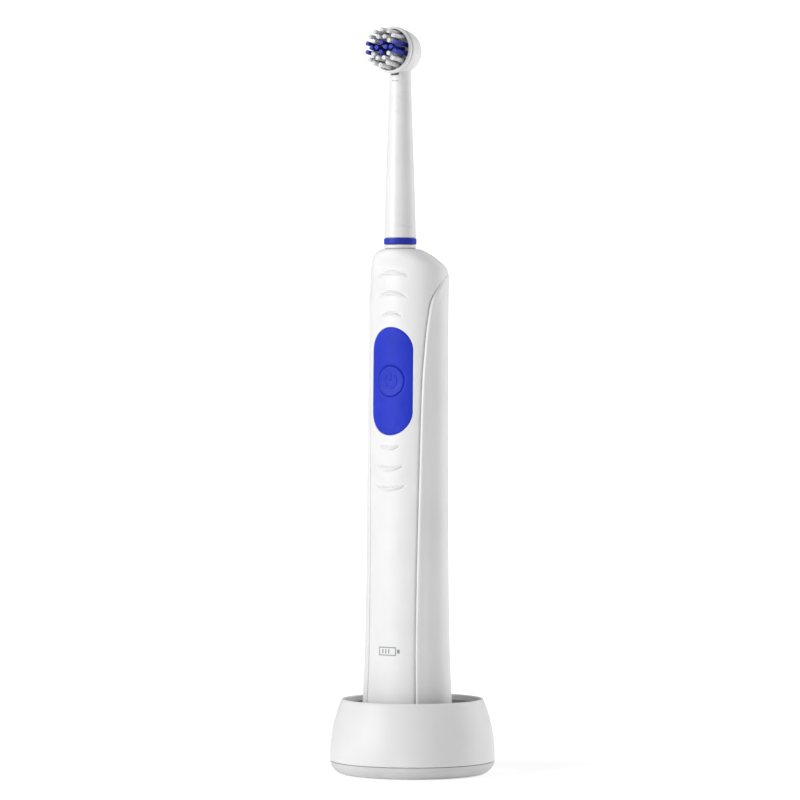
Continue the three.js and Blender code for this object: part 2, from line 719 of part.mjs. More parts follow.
// Tuft roots in one quarter of the disc: across, up; the others are mirrored from these.
const WHITE_TUFTS = [[4.4, 3.63], [2.9, 2.05], [1.2, 3.37], [0, 5.7], [2.65, 5.05]];
const BLUE_TUFTS = [[5.15, 1.4], [3.7, 0], [1.65, 0], [0, 1.5]];

function mirrored(quarter) {
  const places = new Map();
  for (const [x, z] of quarter) {
    for (const [sx, sz] of [[1, 1], [-1, 1], [1, -1], [-1, -1]]) {
      places.set(`${Math.abs(x) * (x ? sx : 1)},${Math.abs(z) * (z ? sz : 1)}`, [x * sx, z * sz]);
    }
  }
  return [...places.values()];
}

const webBack = DISH.depth - 0.05;
const webFront = webBack - TUFT.web;

// The tufts of one colour stand on a thin web that joins them at their roots.
function tufts(quarter, web) {
  const pegs = mirrored(quarter).map(([x, z]) => (
    headRod(TUFT.radius, DISH.depth - TUFT.length, webBack - 0.05, x, z, 6)));
  return tilted(join(web, ...pegs));
}

// A cross bar with three uprights under the blue tufts, grown by a margin.
function blueWeb(margin) {
  const [[endX, endZ], , , [, middleZ]] = BLUE_TUFTS;
  const half = 0.5 + margin;
  const [front, back] = [webFront - margin, webBack + margin];
  const upright = (x, z) => block([x - half, front, -z], [x + half, back, z]);
  return join(
    block([-endX, front, -half], [endX, back, half]),
    upright(0, middleZ), upright(endX, endZ), upright(-endX, endZ),
  );
}

function whiteTufts() {
  const plate = headRod(DISH.radius - 0.06, webFront, webBack, 0, 0, 32);
  const clearance = mirrored(BLUE_TUFTS).map(([x, z]) => (
    headRod(TUFT.radius + 0.15, 0, DISH.depth + 1, x, z, 8)));
  return tufts(WHITE_TUFTS, cut(plate, blueWeb(0.2), ...clearance));
}

function blueTufts() {
  return tufts(BLUE_TUFTS, blueWeb(0));
}

function linkCoupler() {
  const bore = SHAFT.neckRadius + 0.25;
  const socket = cut(
    rod(3.3, 172.6, 191, 0, AXIS_Y),
    rod(bore, 170, 188.5, 0, AXIS_Y),
    rod(1.25, 180, 192, 0, AXIS_Y),
  );
  const key = block([-1.6, AXIS_Y - bore - 0.3, 175], [1.6, AXIS_Y - SHAFT.flat - GAP, 188]);
  return join(socket, key);
}

function linkRod() {
  const pinY = AXIS_Y - CRANK_REACH;
  return join(
    rod(1.0, 189, 226.6, 0, AXIS_Y, 16),
    block([-0.7, pinY - 0.3, CRANK_PIN.bottom], [0.7, AXIS_Y, CRANK_PIN.bottom + 0.7]),
    rod(CRANK_PIN.radius, CRANK_PIN.bottom, CRANK_PIN.top, 0, pinY, 16),
  );
}

// ---------------------------------------------------------------- materials and assembly

function finish(color, roughness, metalness = 0) {
  return () => new THREE.MeshStandardMaterial({ color, roughness, metalness });
}

const whitePlastic = finish(0xf1f2f3, 0.3);
const greyPlastic = finish(0xd9dbdd, 0.45);
const bluePad = finish(0x2c3fc0, 0.5);
const blueRing = finish(0x2a40c4, 0.35);
const whiteFilament = finish(0xfafafa, 0.4);
const blueFilament = finish(0x2430b0, 0.4);
const darkRubber = finish(0x2b2d30, 0.8);
const innerPlastic = finish(0xc9c4b4, 0.55);
const steel = finish(0xb4b8bc, 0.3, 1);
const brass = finish(0xc9a24b, 0.35, 1);
const copper = finish(0xb4663a, 0.4, 1);
const ferrite = finish(0x3a3b3d, 0.7);
const boardGreen = finish(0x1f6b3c, 0.5);
const batteryGreen = finish(0x2f7d4f, 0.4);
const lampGreen = finish(0xdff5e1, 0.3);

const toothbrush = new THREE.Group();

function add(name, piece, material) {
  const made = piece.getMesh();
  const geometry = new THREE.BufferGeometry();
  geometry.setAttribute('position', new THREE.BufferAttribute(made.vertProperties, 3));
  geometry.setIndex(new THREE.BufferAttribute(made.triVerts, 1));
  geometry.computeVertexNormals();
  const mesh = new THREE.Mesh(geometry, material());
  mesh.name = name;
  toothbrush.add(mesh);
}

add('charger_body', chargerBody(), whitePlastic);
add('charger_base_plate', chargerBasePlate(), greyPlastic);
add('charger_ferrite_core', chargerFerriteCore(), ferrite);
add('charger_coil_former', former(1.7, 2.0, 3.0, 6.0, 17.6, POST.y), innerPlastic);
add('charger_coil', winding(2.1, 2.9, 6.8, 16.8, POST.y), copper);
add('charger_circuit_board', chargerBoard(), boardGreen);
add('charger_capacitor', chargerCapacitor(), darkRubber);
add('cord_grommet', cordGrommet(), greyPlastic);

const wall = handleWall();
add('front_shell', frontShell(wall), whitePlastic);
add('rear_shell', rearShell(wall), whitePlastic);
add('control_pad', controlPad(), bluePad);
add('power_button', powerButton(), bluePad);
add('switch_plunger', switchPlunger(), darkRubber);
add('tact_switch', tactSwitch(), steel);
add('top_collar', topCollar(), whitePlastic);
add('shaft_seal', shaftSeal(), darkRubber);
add('bottom_cap', bottomCap(), whitePlastic);
add('bottom_seal', bottomSeal(), darkRubber);
add('receiver_coil_former', former(6.15, 6.5, 8.2, 14.2, 22.6, POST.y), innerPlastic);
add('receiver_coil', winding(6.75, 8.0, 15.0, 21.8, POST.y), copper);
add('inner_frame', chassis(), innerPlastic);
add('battery_cell', batteryCell(), batteryGreen);
add('battery_tab_negative', batteryTab(BATTERY.bottom - 0.6), steel);
add('battery_tab_positive', batteryTab(BATTERY.top + 1.3), steel);
add('main_circuit_board', mainBoard(), boardGreen);
add('charge_led', chargeLed(), lampGreen);
add('motor_can', motorCan(), steel);
add('motor_end_cap', motorEndCap(), darkRubber);
add('motor_magnet_left', motorMagnet(-1), ferrite);
add('motor_magnet_right', motorMagnet(1), ferrite);
add('motor_armature', motorArmature(), steel);
add('motor_shaft', motorShaft(), steel);
add('motor_commutator', commutator(), copper);
add('motor_pinion', motorPinion(), brass);
add('gear_axle', gearAxle(), steel);
add('eccentric_gear', eccentricGear(), innerPlastic);
add('connecting_rod', connectingRod(), innerPlastic);
add('rocker_arm', rockerArm(), innerPlastic);
add('drive_shaft', driveShaft(), steel);
add('lower_shaft_bush', shaftBush(120.5, 125), brass);
add('upper_shaft_bush', shaftBush(151, 156.5), brass);

add('brush_neck', brushNeck(), whitePlastic);
add('color_ring', colorRing(), blueRing);
add('link_coupler', linkCoupler(), innerPlastic);
add('link_rod', linkRod(), steel);
add('bristle_disc', bristleDisc(), whitePlastic);
add('disc_pin', discPin(), steel);
add('white_tufts', whiteTufts(), whiteFilament);
add('blue_tufts', blueTufts(), blueFilament);

export default toothbrush;
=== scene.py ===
"""A rotary toothbrush standing in its charger: finished pieces, materials, studio and camera."""

import json
import math
import random
from functools import lru_cache

import bmesh
import bpy
from mathutils import Matrix, Vector
from mathutils.kdtree import KDTree


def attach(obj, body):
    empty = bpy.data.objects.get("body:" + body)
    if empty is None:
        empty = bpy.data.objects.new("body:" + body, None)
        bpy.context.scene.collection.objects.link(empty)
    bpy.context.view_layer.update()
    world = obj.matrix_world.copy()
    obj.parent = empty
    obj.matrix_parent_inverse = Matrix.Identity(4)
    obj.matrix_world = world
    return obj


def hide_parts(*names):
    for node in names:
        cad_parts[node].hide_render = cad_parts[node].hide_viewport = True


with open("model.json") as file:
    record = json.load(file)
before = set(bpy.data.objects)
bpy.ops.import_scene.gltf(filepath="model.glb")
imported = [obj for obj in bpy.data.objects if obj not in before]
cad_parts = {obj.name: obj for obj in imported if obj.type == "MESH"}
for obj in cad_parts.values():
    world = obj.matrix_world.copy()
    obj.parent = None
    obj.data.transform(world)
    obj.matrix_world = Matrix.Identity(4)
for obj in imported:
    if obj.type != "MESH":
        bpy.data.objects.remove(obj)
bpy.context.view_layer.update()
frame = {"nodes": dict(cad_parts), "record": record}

MM = 0.001
CORE = 0.001                      # radius, in millimetres, of a turned profile's ends at its axis
random.seed(11)

# ---------- camera

AZIMUTH = math.radians(33)
CAMERA_DISTANCE = 1170 * MM
CAMERA_HEIGHT = 119.7 * MM
AXIS_OFFSET = 4.0 * MM            # the object's axis stands this far right of the picture's middle
LENS = 163.75


def make_camera():
    data = bpy.data.cameras.new("camera")
    data.lens = LENS
    data.sensor_width = 36
    data.clip_start, data.clip_end = 0.05, 50
    camera = bpy.data.objects.new("camera", data)
    back = Vector((math.sin(AZIMUTH), -math.cos(AZIMUTH), 0))
    right = Vector((math.cos(AZIMUTH), math.sin(AZIMUTH), 0))
    camera.location = back * CAMERA_DISTANCE - right * AXIS_OFFSET + Vector((0, 0, CAMERA_HEIGHT))
    camera.rotation_euler = (math.radians(90), 0, AZIMUTH)
    bpy.context.collection.objects.link(camera)
    bpy.context.scene.camera = camera


# ---------- dimensions, millimetres

AXIS_Y = -7.2                     # drive shaft and neck stand on this line
POST_Y = -3.2                     # charging post

HANDLE_BOTTOM = 9.7
SHOULDER = 158.3
HANDLE_TOP = 167.95
SHELL_WALL = 1.4
# Handle sections: height, centre y, half width, half depth
SECTIONS = [
    (7.9, -3.2, 15.8, 12.4), (25, -3.1, 15.1, 11.9), (42, -3.05, 14.45, 11.4),
    (75, -2.85, 13.9, 10.95), (132, -2.5, 13.6, 10.7), (158, -1.65, 13.4, 10.5),
]
TOP_SECTION = (AXIS_Y, 5.6, 5.0)  # centre y, half width, half depth
SHOULDER_POWER = 1.75
# The shoulder's fuller part: its middle, its reach up and down, shift back and growth sideways
SWELL = {"z": 162.3, "reach": 2.2, "back": 0.6, "side": 0.4}
# The line where the shells meet, seen from the side: height, y
PARTING = [
    (7, -12.9), (23, -12.6), (75, -11.2), (120, -10.1), (136, -9.2),
    (145.4, -8.2), (151.9, -6.85), (157.3, -3.2), (160.4, 3), (161.8, 14),
]
PARTING_GAP = 0.14

PAD = {"bottom": 108.5, "top": 142.9, "half_width": 7.5}
BUTTON = {"z": 125.7, "radius": 4.9}
# Grip ribs: height of the outer crest, half width, rise of the crest over its ends, thickness
RIBS = [
    (160.8, 5.9, 1.9, 1.1), (154.2, 5.6, 1.8, 1.05), (147.7, 3.9, 1.3, 1.0),
    (103.8, 3.7, -1.4, 1.1), (97.2, 5.1, -1.7, 1.2), (90.8, 5.9, -1.9, 1.15),
]
RIB_RELIEF = 0.26
OUTER_GROOVE = {"depth": 0.45, "half_width": 0.46}
INNER_GROOVE = {"depth": 0.32, "half_width": 0.38}

# The middle of the disc's face, and how far the head leans back
HEAD = {"y": -12.8, "z": 231.35, "tilt": math.radians(3.5)}
DISH_DEPTH = 1.5
DISC_RADIUS = 7.5


# ---------- curves

def catmull(points, t):
    """The point at t from 0 to 1 on a uniform Catmull-Rom curve with doubled ends."""
    place = (len(points) - 1) * t
    i = min(int(place), len(points) - 2)
    w = place - i
    p0, p1 = points[max(i - 1, 0)], points[i]
    p2, p3 = points[i + 1], points[min(i + 2, len(points) - 1)]

    def blend(a, b, c, d):
        v0, v1 = (c - a) / 2, (d - b) / 2
        return (2 * b - 2 * c + v0 + v1) * w**3 + (-3 * b + 3 * c - 2 * v0 - v1) * w**2 + v0 * w + b

    return tuple(blend(*values) for values in zip(p0, p1, p2, p3))


def on_curve(points, height):
    """The curve's other values where its first value is height."""
    low, high = 0.0, 1.0
    for _ in range(26):
        middle = (low + high) / 2
        if catmull(points, middle)[0] < height:
            low = middle
        else:
            high = middle
    return catmull(points, low)[1:]


@lru_cache(maxsize=None)
def section(z):
    """Centre y, half width and half depth of the handle at a height."""
    y, a, b = on_curve(SECTIONS, min(z, SHOULDER, SECTIONS[-1][0]))
    if z > SHOULDER:
        rise = min(1.0, (z - SHOULDER) / (HANDLE_TOP - SHOULDER))
        full = (1 - rise**SHOULDER_POWER) ** (1 / SHOULDER_POWER)
        top_y, top_a, top_b = TOP_SECTION
        y = top_y + (y - top_y) * full**2
        a = top_a + (a - top_a) * full
        b = top_b + (b - top_b) * full
    swell = math.exp(-((z - SWELL["z"]) / SWELL["reach"]) ** 2)
    return y + SWELL["back"] * swell, a + SWELL["side"] * swell, b


@lru_cache(maxsize=None)
def parting_y(z):
    """Where the parting line runs at a height, seen from the side."""
    return on_curve(PARTING, z)[0]


def parting_angle(z, gap=0.0):
    """Angle from the front, round the handle, at which the shells part; gap moves it back."""
    y, _, b = section(z)
    share = (y - parting_y(z) - gap) / b
    return math.acos(max(-1.0, min(1.0, share)))


def seam_closed(z):
    """Whether both sides of the parting line have met behind the handle at this height."""
    return parting_angle(z) >= math.pi - 1e-6


def round_handle(angle, z, inset=0.0):
    """A point of the handle at an angle from its front, moved inwards by inset."""
    y, a, b = section(z)
    return ((a - inset) * math.sin(angle), y - (b - inset) * math.cos(angle), z)


def front_y(x, z, inset=0.0):
    """Depth of the handle's front at x and z, moved inwards by inset."""
    y, a, b = section(z)
    return y - (b - inset) * math.sqrt(max(0.0, 1 - (x / a) ** 2))


def smooth(edge0, edge1, value):
    """0 at edge0, 1 at edge1 and an S-shaped rise between them."""
    share = min(1.0, max(0.0, (value - edge0) / (edge1 - edge0)))
    return share * share * (3 - 2 * share)


def steps(start, end, count):
    """Evenly spaced values from start to end, both included."""
    return [start + (end - start) * i / count for i in range(count + 1)]


def turns(count):
    """Evenly spaced angles of one full turn."""
    return [2 * math.pi * i / count for i in range(count)]


# ---------- mesh helpers

CREASE = math.radians(34)         # faces that meet at a larger angle keep a sharp edge
FILLET_STEPS = 5


def build(name, vertices, faces):
    """A mesh object from millimetre points, with its faces turned outwards."""
    mesh = bpy.data.meshes.new(name)
    mesh.from_pydata([Vector(v) * MM for v in vertices], [], faces)
    edit = bmesh.new()
    edit.from_mesh(mesh)
    bmesh.ops.remove_doubles(edit, verts=edit.verts, dist=1e-7)
    bmesh.ops.recalc_face_normals(edit, faces=edit.faces)
    edit.to_mesh(mesh)
    edit.free()
    made = bpy.data.objects.new(name, mesh)
    bpy.context.collection.objects.link(made)
    return made


def settle(piece):
    """Applies a piece's modifiers to its mesh."""
    graph = bpy.context.evaluated_depsgraph_get()
    mesh = bpy.data.meshes.new_from_object(piece.evaluated_get(graph))
    piece.modifiers.clear()
    piece.data = mesh
    return piece


def combine(piece, other, operation):
    """Joins other to piece, or cuts it out of piece."""
    modifier = piece.modifiers.new("combine", "BOOLEAN")
    modifier.object = other
    modifier.operation = operation
    modifier.solver = "EXACT"
    settle(piece)
    bpy.data.objects.remove(other)
    return piece


def bevel(piece, width):
    """Rounds the piece's sharp edges."""
    modifier = piece.modifiers.new("edges", "BEVEL")
    modifier.width = width * MM
    modifier.segments = 3
    modifier.limit_method = "ANGLE"
    modifier.angle_limit = math.radians(40)
    return settle(piece)


def present(piece, body, nodes, material):
    """Shades a finished piece, gives it its material and body, and hides what it replaces."""
    for polygon in piece.data.polygons:
        polygon.use_smooth = True
    piece.data.set_sharp_from_angle(angle=CREASE)
    piece.data.materials.clear()
    piece.data.materials.append(material)
    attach(piece, body)
    if nodes:
        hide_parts(*nodes)
    return piece


def paint(piece, material, chosen):
    """Gives a second material to the faces that chosen(centre in millimetres, normal) picks."""
    piece.data.materials.append(material)
    for polygon in piece.data.polygons:
        if chosen(polygon.center / MM, polygon.normal):
            polygon.material_index = 1
    return piece


def grid_faces(rows, columns, closed=False):
    """Quads of a grid of points stored row by row."""
    faces = []
    for r in range(rows - 1):
        for c in range(columns if closed else columns - 1):
            d = (c + 1) % columns
            faces.append((r * columns + c, r * columns + d, (r + 1) * columns + d, (r + 1) * columns + c))
    return faces


def tube_faces(rings, count, base=0):
    """Faces of a closed solid over rings of count points each, stored from base on."""
    last = (rings - 1) * count
    faces = grid_faces(rings, count, closed=True)
    faces += [tuple(range(count)), tuple(last + i for i in reversed(range(count)))]
    return [tuple(base + i for i in face) for face in faces]


def skin(name, rings):
    """A closed solid over rings of equal count, with its ends closed."""
    return build(name, [p for ring in rings for p in ring], tube_faces(len(rings), len(rings[0])))


def rounded(profile):
    """A profile of (r, z) or (r, z, fillet radius) corners with its fillets drawn as short lines."""
    out = []
    count = len(profile)
    for i, corner in enumerate(profile):
        here = Vector(corner[:2])
        radius = corner[2] if len(corner) > 2 else 0
        if not radius or i in (0, count - 1):
            out.append(here)
            continue
        before = (Vector(profile[i - 1][:2]) - here).normalized()
        after = (Vector(profile[i + 1][:2]) - here).normalized()
        half = math.acos(max(-1, min(1, before.dot(after)))) / 2
        reach = radius / math.tan(half)
        centre = here + (before + after).normalized() * (radius / math.sin(half))
        start = here + before * reach - centre
        end = here + after * reach - centre
        out += [centre + start.slerp(end, s).normalized() * radius for s in steps(0, 1, FILLET_STEPS)]
    return out


def walled(name, outer, inner, width, joined_rows=()):
    """A wall between two grids of points, closed along their free edges."""
    rows = len(outer) // width
    base = len(outer)
    faces = grid_faces(rows, width)
    faces += [tuple(base + i for i in face) for face in faces]
    last = (rows - 1) * width
    for start in (0, last):
        for c in range(start, start + width - 1):
            faces.append((c, c + 1, base + c + 1, base + c))
    for r in range(rows - 1):
        if r in joined_rows:
            continue
        for c in (0, width - 1):
            low, high = r * width + c, (r + 1) * width + c
            faces.append((low, high, base + high, base + low))
    return build(name, outer + inner, faces)


def lathe(name, profile, y=0.0, segments=96, closed=False):
    """A piece turned on the vertical line through (0, y). A closed profile makes a ring."""
    points = rounded(profile)
    if closed:
        points = points + points[:1]
    vertices = []
    for p in points:
        for angle in turns(segments):
            vertices.append((p.x * math.sin(angle), y - p.x * math.cos(angle), p.y))
    return build(name, vertices, grid_faces(len(points), segments, closed=True))


def box(name, low, high):
    """A box between two corners."""
    (x0, y0, z0), (x1, y1, z1) = low, high
    vertices = [(x, y, z) for z in (z0, z1) for x, y in ((x0, y0), (x1, y0), (x1, y1), (x0, y1))]
    faces = [(0, 1, 2, 3), (4, 5, 6, 7), (0, 1, 5, 4), (1, 2, 6, 5), (2, 3, 7, 6), (3, 0, 4, 7)]
    return build(name, vertices, faces)


# ---------- materials

class Material:
    """A node material with short calls for making and joining nodes."""

    def __init__(self, name, roughness, metallic=0.0):
        self.data = bpy.data.materials.new(name)
        self.data.use_nodes = True
        self.tree = self.data.node_tree
        self.shader = self.tree.nodes["Principled BSDF"]
        self.shader.inputs["Roughness"].default_value = roughness
        self.shader.inputs["Metallic"].default_value = metallic
        self.place = self.add("ShaderNodeTexCoord").outputs["Object"]

    def add(self, kind, inputs=None, **settings):
        made = self.tree.nodes.new(kind)
        for key, value in settings.items():
            setattr(made, key, value)
        for key, value in (inputs or {}).items():
            self.put(made.inputs[key], value)
        return made

    def put(self, socket, value):
        if isinstance(value, bpy.types.NodeSocket):
            self.tree.links.new(value, socket)
        else:
            socket.default_value = value

    def noise(self, scale, detail=3.0, stretch=(1, 1, 1), distortion=0.0):
        """Noise over the piece; scale is in cycles to the metre."""
        place = self.add("ShaderNodeMapping", {"Vector": self.place, "Scale": stretch})
        inputs = {"Vector": place.outputs[0], "Scale": scale, "Detail": detail, "Distortion": distortion}
        return self.add("ShaderNodeTexNoise", inputs).outputs["Fac"]

    def cells(self, scale):
        """Distance to the nearest of many scattered points."""
        inputs = {"Vector": self.place, "Scale": scale}
        return self.add("ShaderNodeTexVoronoi", inputs).outputs["Distance"]

    def axis(self, name):
        """The x, y or z of the point, in metres."""
        return self.add("ShaderNodeSeparateXYZ", {"Vector": self.place}).outputs[name]

    def math(self, operation, a, b=0.0, clamp=False):
        made = self.add("ShaderNodeMath", operation=operation, use_clamp=clamp)
        self.put(made.inputs[0], a)
        self.put(made.inputs[1], b)
        return made.outputs[0]

    def spread(self, value, low, high, to_low, to_high):
        """value from low to high drawn out to to_low to to_high."""
        inputs = {"Value": value, "From Min": low, "From Max": high, "To Min": to_low, "To Max": to_high}
        return self.add("ShaderNodeMapRange", inputs).outputs[0]

    def mix(self, share, a, b):
        """Colour a, going over to colour b as share goes from 0 to 1."""
        made = self.add("ShaderNodeMix", data_type="RGBA")
        self.put(made.inputs[0], share)
        self.put(made.inputs[6], a)
        self.put(made.inputs[7], b)
        return made.outputs[2]

    def edges(self, low, high):
        """1 on outer edges, 0 on flats and in hollows."""
        point = self.add("ShaderNodeNewGeometry").outputs["Pointiness"]
        return self.spread(point, low, high, 0.0, 1.0)

    def relief(self, height, distance, strength=1.0, under=None):
        inputs = {"Height": height, "Distance": distance, "Strength": strength}
        if under is not None:
            inputs["Normal"] = under
        return self.add("ShaderNodeBump", inputs).outputs[0]

    def finish(self, colour=None, roughness=None, normal=None, **fixed):
        for key, value in (("Base Color", colour), ("Roughness", roughness), ("Normal", normal)):
            if value is not None:
                self.put(self.shader.inputs[key], value)
        for key, value in fixed.items():
            self.shader.inputs[key.replace("_", " ")].default_value = value
        return self.data


def rgb(red, green, blue):
    """A linear colour from 0-255 screen values."""
    def linear(v):
        v /= 255
        return v / 12.92 if v <= 0.04045 else ((v + 0.055) / 1.055) ** 2.4
    return (linear(red), linear(green), linear(blue), 1.0)


def moulded(name, base, shade, roughness, grain=0.000012, specular=0.5, coat=0.0, hollow=None):
    """Moulded plastic: faint mottling, fine mould texture, hairline scuffs and rubbed edges.

    hollow is painted shade laid in patches over the faces behind a depth: (colour, y where it begins, y
    where it is full).
    """
    m = Material(name, roughness)
    mottle = m.spread(m.noise(70, 4.0), 0.35, 0.7, 0.0, 1.0)
    colour = m.mix(mottle, base, shade)
    if hollow:
        # Painted shade: faces deeper than the given depth are darkened towards the shade colour.
        painted_shade, begins, full = hollow
        shade_share = m.spread(m.axis("Y"), begins * MM, full * MM, 0.0, 1.0)
        patches = m.spread(m.noise(500, 3.0), 0.3, 0.7, 0.8, 1)
        colour = m.mix(m.math("MULTIPLY", shade_share, patches), colour, painted_shade)
    rubbed = m.edges(0.52, 0.58)
    colour = m.mix(m.math("MULTIPLY", rubbed, 0.25), colour, tuple(min(1, c * 1.08) for c in base))
    hairs = m.spread(m.noise(900, 2.0, (1, 1, 0.06), 0.4), 0.66, 0.74, 0.0, 1.0)
    smears = m.spread(m.noise(110, 2.0, distortion=0.6), 0.3, 0.8, -0.04, 0.06)
    rough = m.math("ADD", m.math("MULTIPLY", hairs, 0.0525), roughness)
    rough = m.math("ADD", rough, smears, clamp=True)
    skin_grain = m.relief(m.noise(5200, 2.0), grain, 0.35)
    normal = m.relief(m.noise(160, 2.0), 0.00006, 0.12, under=skin_grain)
    return m.finish(colour, rough, normal, Specular_IOR_Level=specular, Coat_Weight=coat,
                    Coat_Roughness=0.12)


def soft_blue(name, base, shade, roughness):
    """Soft-touch elastomer: stippled, with worn crests."""
    m = Material(name, roughness)
    mottle = m.spread(m.noise(140, 4.0), 0.3, 0.72, 0.0, 1.0)
    colour = m.mix(mottle, base, shade)
    worn = m.math("MULTIPLY", m.edges(0.54, 0.64), 0.3)
    colour = m.mix(worn, colour, tuple(min(1, c * 1.5 + 0.01) for c in base))
    stipple = m.cells(4200)
    rough = m.math("ADD", m.spread(m.noise(600, 3.0), 0.3, 0.7, -0.06, 0.08), roughness, clamp=True)
    normal = m.relief(stipple, 0.00004, 0.25)
    return m.finish(colour, rough, normal, Specular_IOR_Level=0.2)


def filament(name, base, root_shade, tip):
    """Nylon filaments: streaked along their length, with painted shade darkening them towards the disc and
    a painted highlight paling their rounded ends.
    """
    m = Material(name, 0.38)
    streak = m.spread(m.noise(9000, 2.0, (1, 0.03, 1)), 0.35, 0.65, 0.0, 0.3)
    colour = m.mix(streak, base, root_shade)
    depth = m.axis("Y")
    # Painted shade: the filaments darken towards the disc.
    foot = m.spread(depth, (HEAD["y"] - 2.6) * MM, (HEAD["y"] + 0.8) * MM, 0.0, 0.8)
    colour = m.mix(foot, colour, root_shade)
    # Painted highlight: the filaments pale towards the tip colour at their ends.
    front = m.spread(depth, (HEAD["y"] - 5.2) * MM, (HEAD["y"] - 5.7) * MM, 0.0, 1.0)
    colour = m.mix(front, colour, tip)
    rough = m.spread(m.noise(2500, 2.0), 0.3, 0.7, 0.3, 0.46)
    return m.finish(colour, rough, m.relief(streak, 0.00001, 0.3), Subsurface_Weight=0.15,
                    Subsurface_Scale=0.0006)


def metal(name, base, roughness):
    """Drawn or turned metal: brushed along one way, with darker stains."""
    m = Material(name, roughness, 1.0)
    stain = m.spread(m.noise(260, 5.0), 0.45, 0.75, 0.0, 0.25)
    colour = m.mix(stain, base, tuple(c * 0.45 for c in base[:3]) + (1.0,))
    lines = m.noise(3000, 3.0, (1, 1, 0.02))
    rough = m.spread(lines, 0.3, 0.7, roughness - 0.08, roughness + 0.12)
    return m.finish(colour, rough, m.relief(lines, 0.00001, 0.4))


def winding_copper(name):
    """Enamelled copper wire laid turn by turn."""
    m = Material(name, 0.35, 0.9)
    inputs = {"Vector": m.place, "Scale": 640, "Distortion": 0.3, "Detail": 2.0}
    wires = m.add("ShaderNodeTexWave", inputs, bands_direction="Z").outputs["Fac"]
    colour = m.mix(wires, rgb(92, 38, 16), rgb(196, 112, 66))
    return m.finish(colour, m.spread(wires, 0, 1, 0.5, 0.28), m.relief(wires, 0.0001, 0.8))


def green_board(name):
    """Solder mask over copper tracks and pads."""
    m = Material(name, 0.4)
    inputs = {"Vector": m.place, "Scale": 900, "Mortar Size": 0.08, "Brick Width": 1.4}
    tracks = m.add("ShaderNodeTexBrick", inputs).outputs["Fac"]
    pads = m.spread(m.cells(520), 0.16, 0.12, 0.0, 1.0)
    colour = m.mix(tracks, rgb(22, 92, 50), rgb(58, 138, 76))
    colour = m.mix(pads, colour, rgb(206, 186, 140))
    return m.finish(colour, m.spread(pads, 0, 1, 0.42, 0.25), m.relief(pads, 0.00005, 0.5))


def battery_wrap(name):
    """Printed shrink sleeve with a band at each end."""
    m = Material(name, 0.35)
    bands = m.spread(m.math("PINGPONG", m.math("SUBTRACT", m.axis("Z"), 0.026), 0.025), 0.004, 0.0042, 1, 0)
    wrinkles = m.noise(420, 3.0, (1, 1, 0.3))
    colour = m.mix(bands, rgb(46, 122, 78), rgb(214, 218, 214))
    colour = m.mix(m.spread(wrinkles, 0.4, 0.8, 0, 0.3), colour, rgb(24, 70, 44))
    return m.finish(colour, m.spread(wrinkles, 0.3, 0.7, 0.28, 0.45), m.relief(wrinkles, 0.0001, 0.4))


def dark_matte(name, base, roughness):
    """Rubber or ferrite: dull, dusty and slightly pitted."""
    m = Material(name, roughness)
    dust = m.spread(m.noise(500, 5.0), 0.5, 0.8, 0.0, 0.5)
    colour = m.mix(dust, base, tuple(c * 2 + 0.02 for c in base[:3]) + (1.0,))
    pits = m.cells(3600)
    rough = m.spread(m.noise(900, 3.0), 0.3, 0.7, roughness - 0.1, roughness + 0.1)
    return m.finish(colour, rough, m.relief(pits, 0.00005, 0.4), Specular_IOR_Level=0.3)


WHITE = moulded("white_shell_plastic", rgb(243, 243, 243), rgb(238, 238, 239), 0.36, specular=0.35)
# Painted shade: a grey that stands in for the shade inside the charger's bowl.
BOWL_SHADE = moulded("bowl_painted_shade", rgb(176, 177, 179), rgb(164, 165, 168), 0.5)
GREY = moulded("base_plate_plastic", rgb(225, 225, 225), rgb(216, 216, 217), 0.46, grain=0.00003)
# The disc's dish, behind its rim, gets a painted shade grey.
DISC_WHITE = moulded("disc_plastic", rgb(242, 242, 242), rgb(236, 236, 237), 0.32,
                     hollow=(rgb(150, 151, 148), HEAD["y"] + 0.7, HEAD["y"] + 1.4))
# Painted shade: a dark grey laid on the faces of the notch under the disc.
NOTCH_SHADE = moulded("notch_painted_shade", rgb(128, 129, 126), rgb(110, 111, 108), 0.6)
BRUSH_WHITE = moulded("brush_head_plastic", rgb(242, 242, 242), rgb(236, 236, 237), 0.3)
BLUE_PAD = soft_blue("pad_elastomer", rgb(38, 58, 204), rgb(32, 51, 194), 0.5)
BLUE_BUTTON = soft_blue("button_elastomer", rgb(42, 62, 204), rgb(36, 54, 192), 0.46)
BLUE_RING = moulded("ring_plastic", rgb(36, 54, 190), rgb(30, 46, 172), 0.4, specular=0.3)
INNER = moulded("inner_plastic", rgb(226, 222, 210), rgb(212, 206, 190), 0.5, grain=0.00003)
MARK = moulded("mark_ink", rgb(150, 152, 156), rgb(136, 138, 142), 0.5)
# The third colour of each is a painted shade for the filaments' roots, the fourth a painted highlight for
# their tips.
WHITE_NYLON = filament("white_nylon", rgb(246, 245, 246), rgb(128, 130, 120), rgb(255, 255, 255))
BLUE_NYLON = filament("blue_nylon", rgb(34, 48, 172), rgb(18, 28, 124), rgb(58, 76, 206))
LAMP = moulded("lamp_lens", rgb(206, 236, 206), rgb(190, 226, 192), 0.15, coat=0.6)
STEEL = metal("turned_steel", rgb(196, 198, 202), 0.28)
BRASS = metal("brass", rgb(206, 170, 96), 0.32)
COPPER = winding_copper("wound_copper")
RUBBER = dark_matte("black_rubber", rgb(38, 39, 42), 0.75)
FERRITE = dark_matte("ferrite", rgb(52, 52, 55), 0.65)
BOARD = green_board("circuit_board")
CELL = battery_wrap("battery_sleeve")

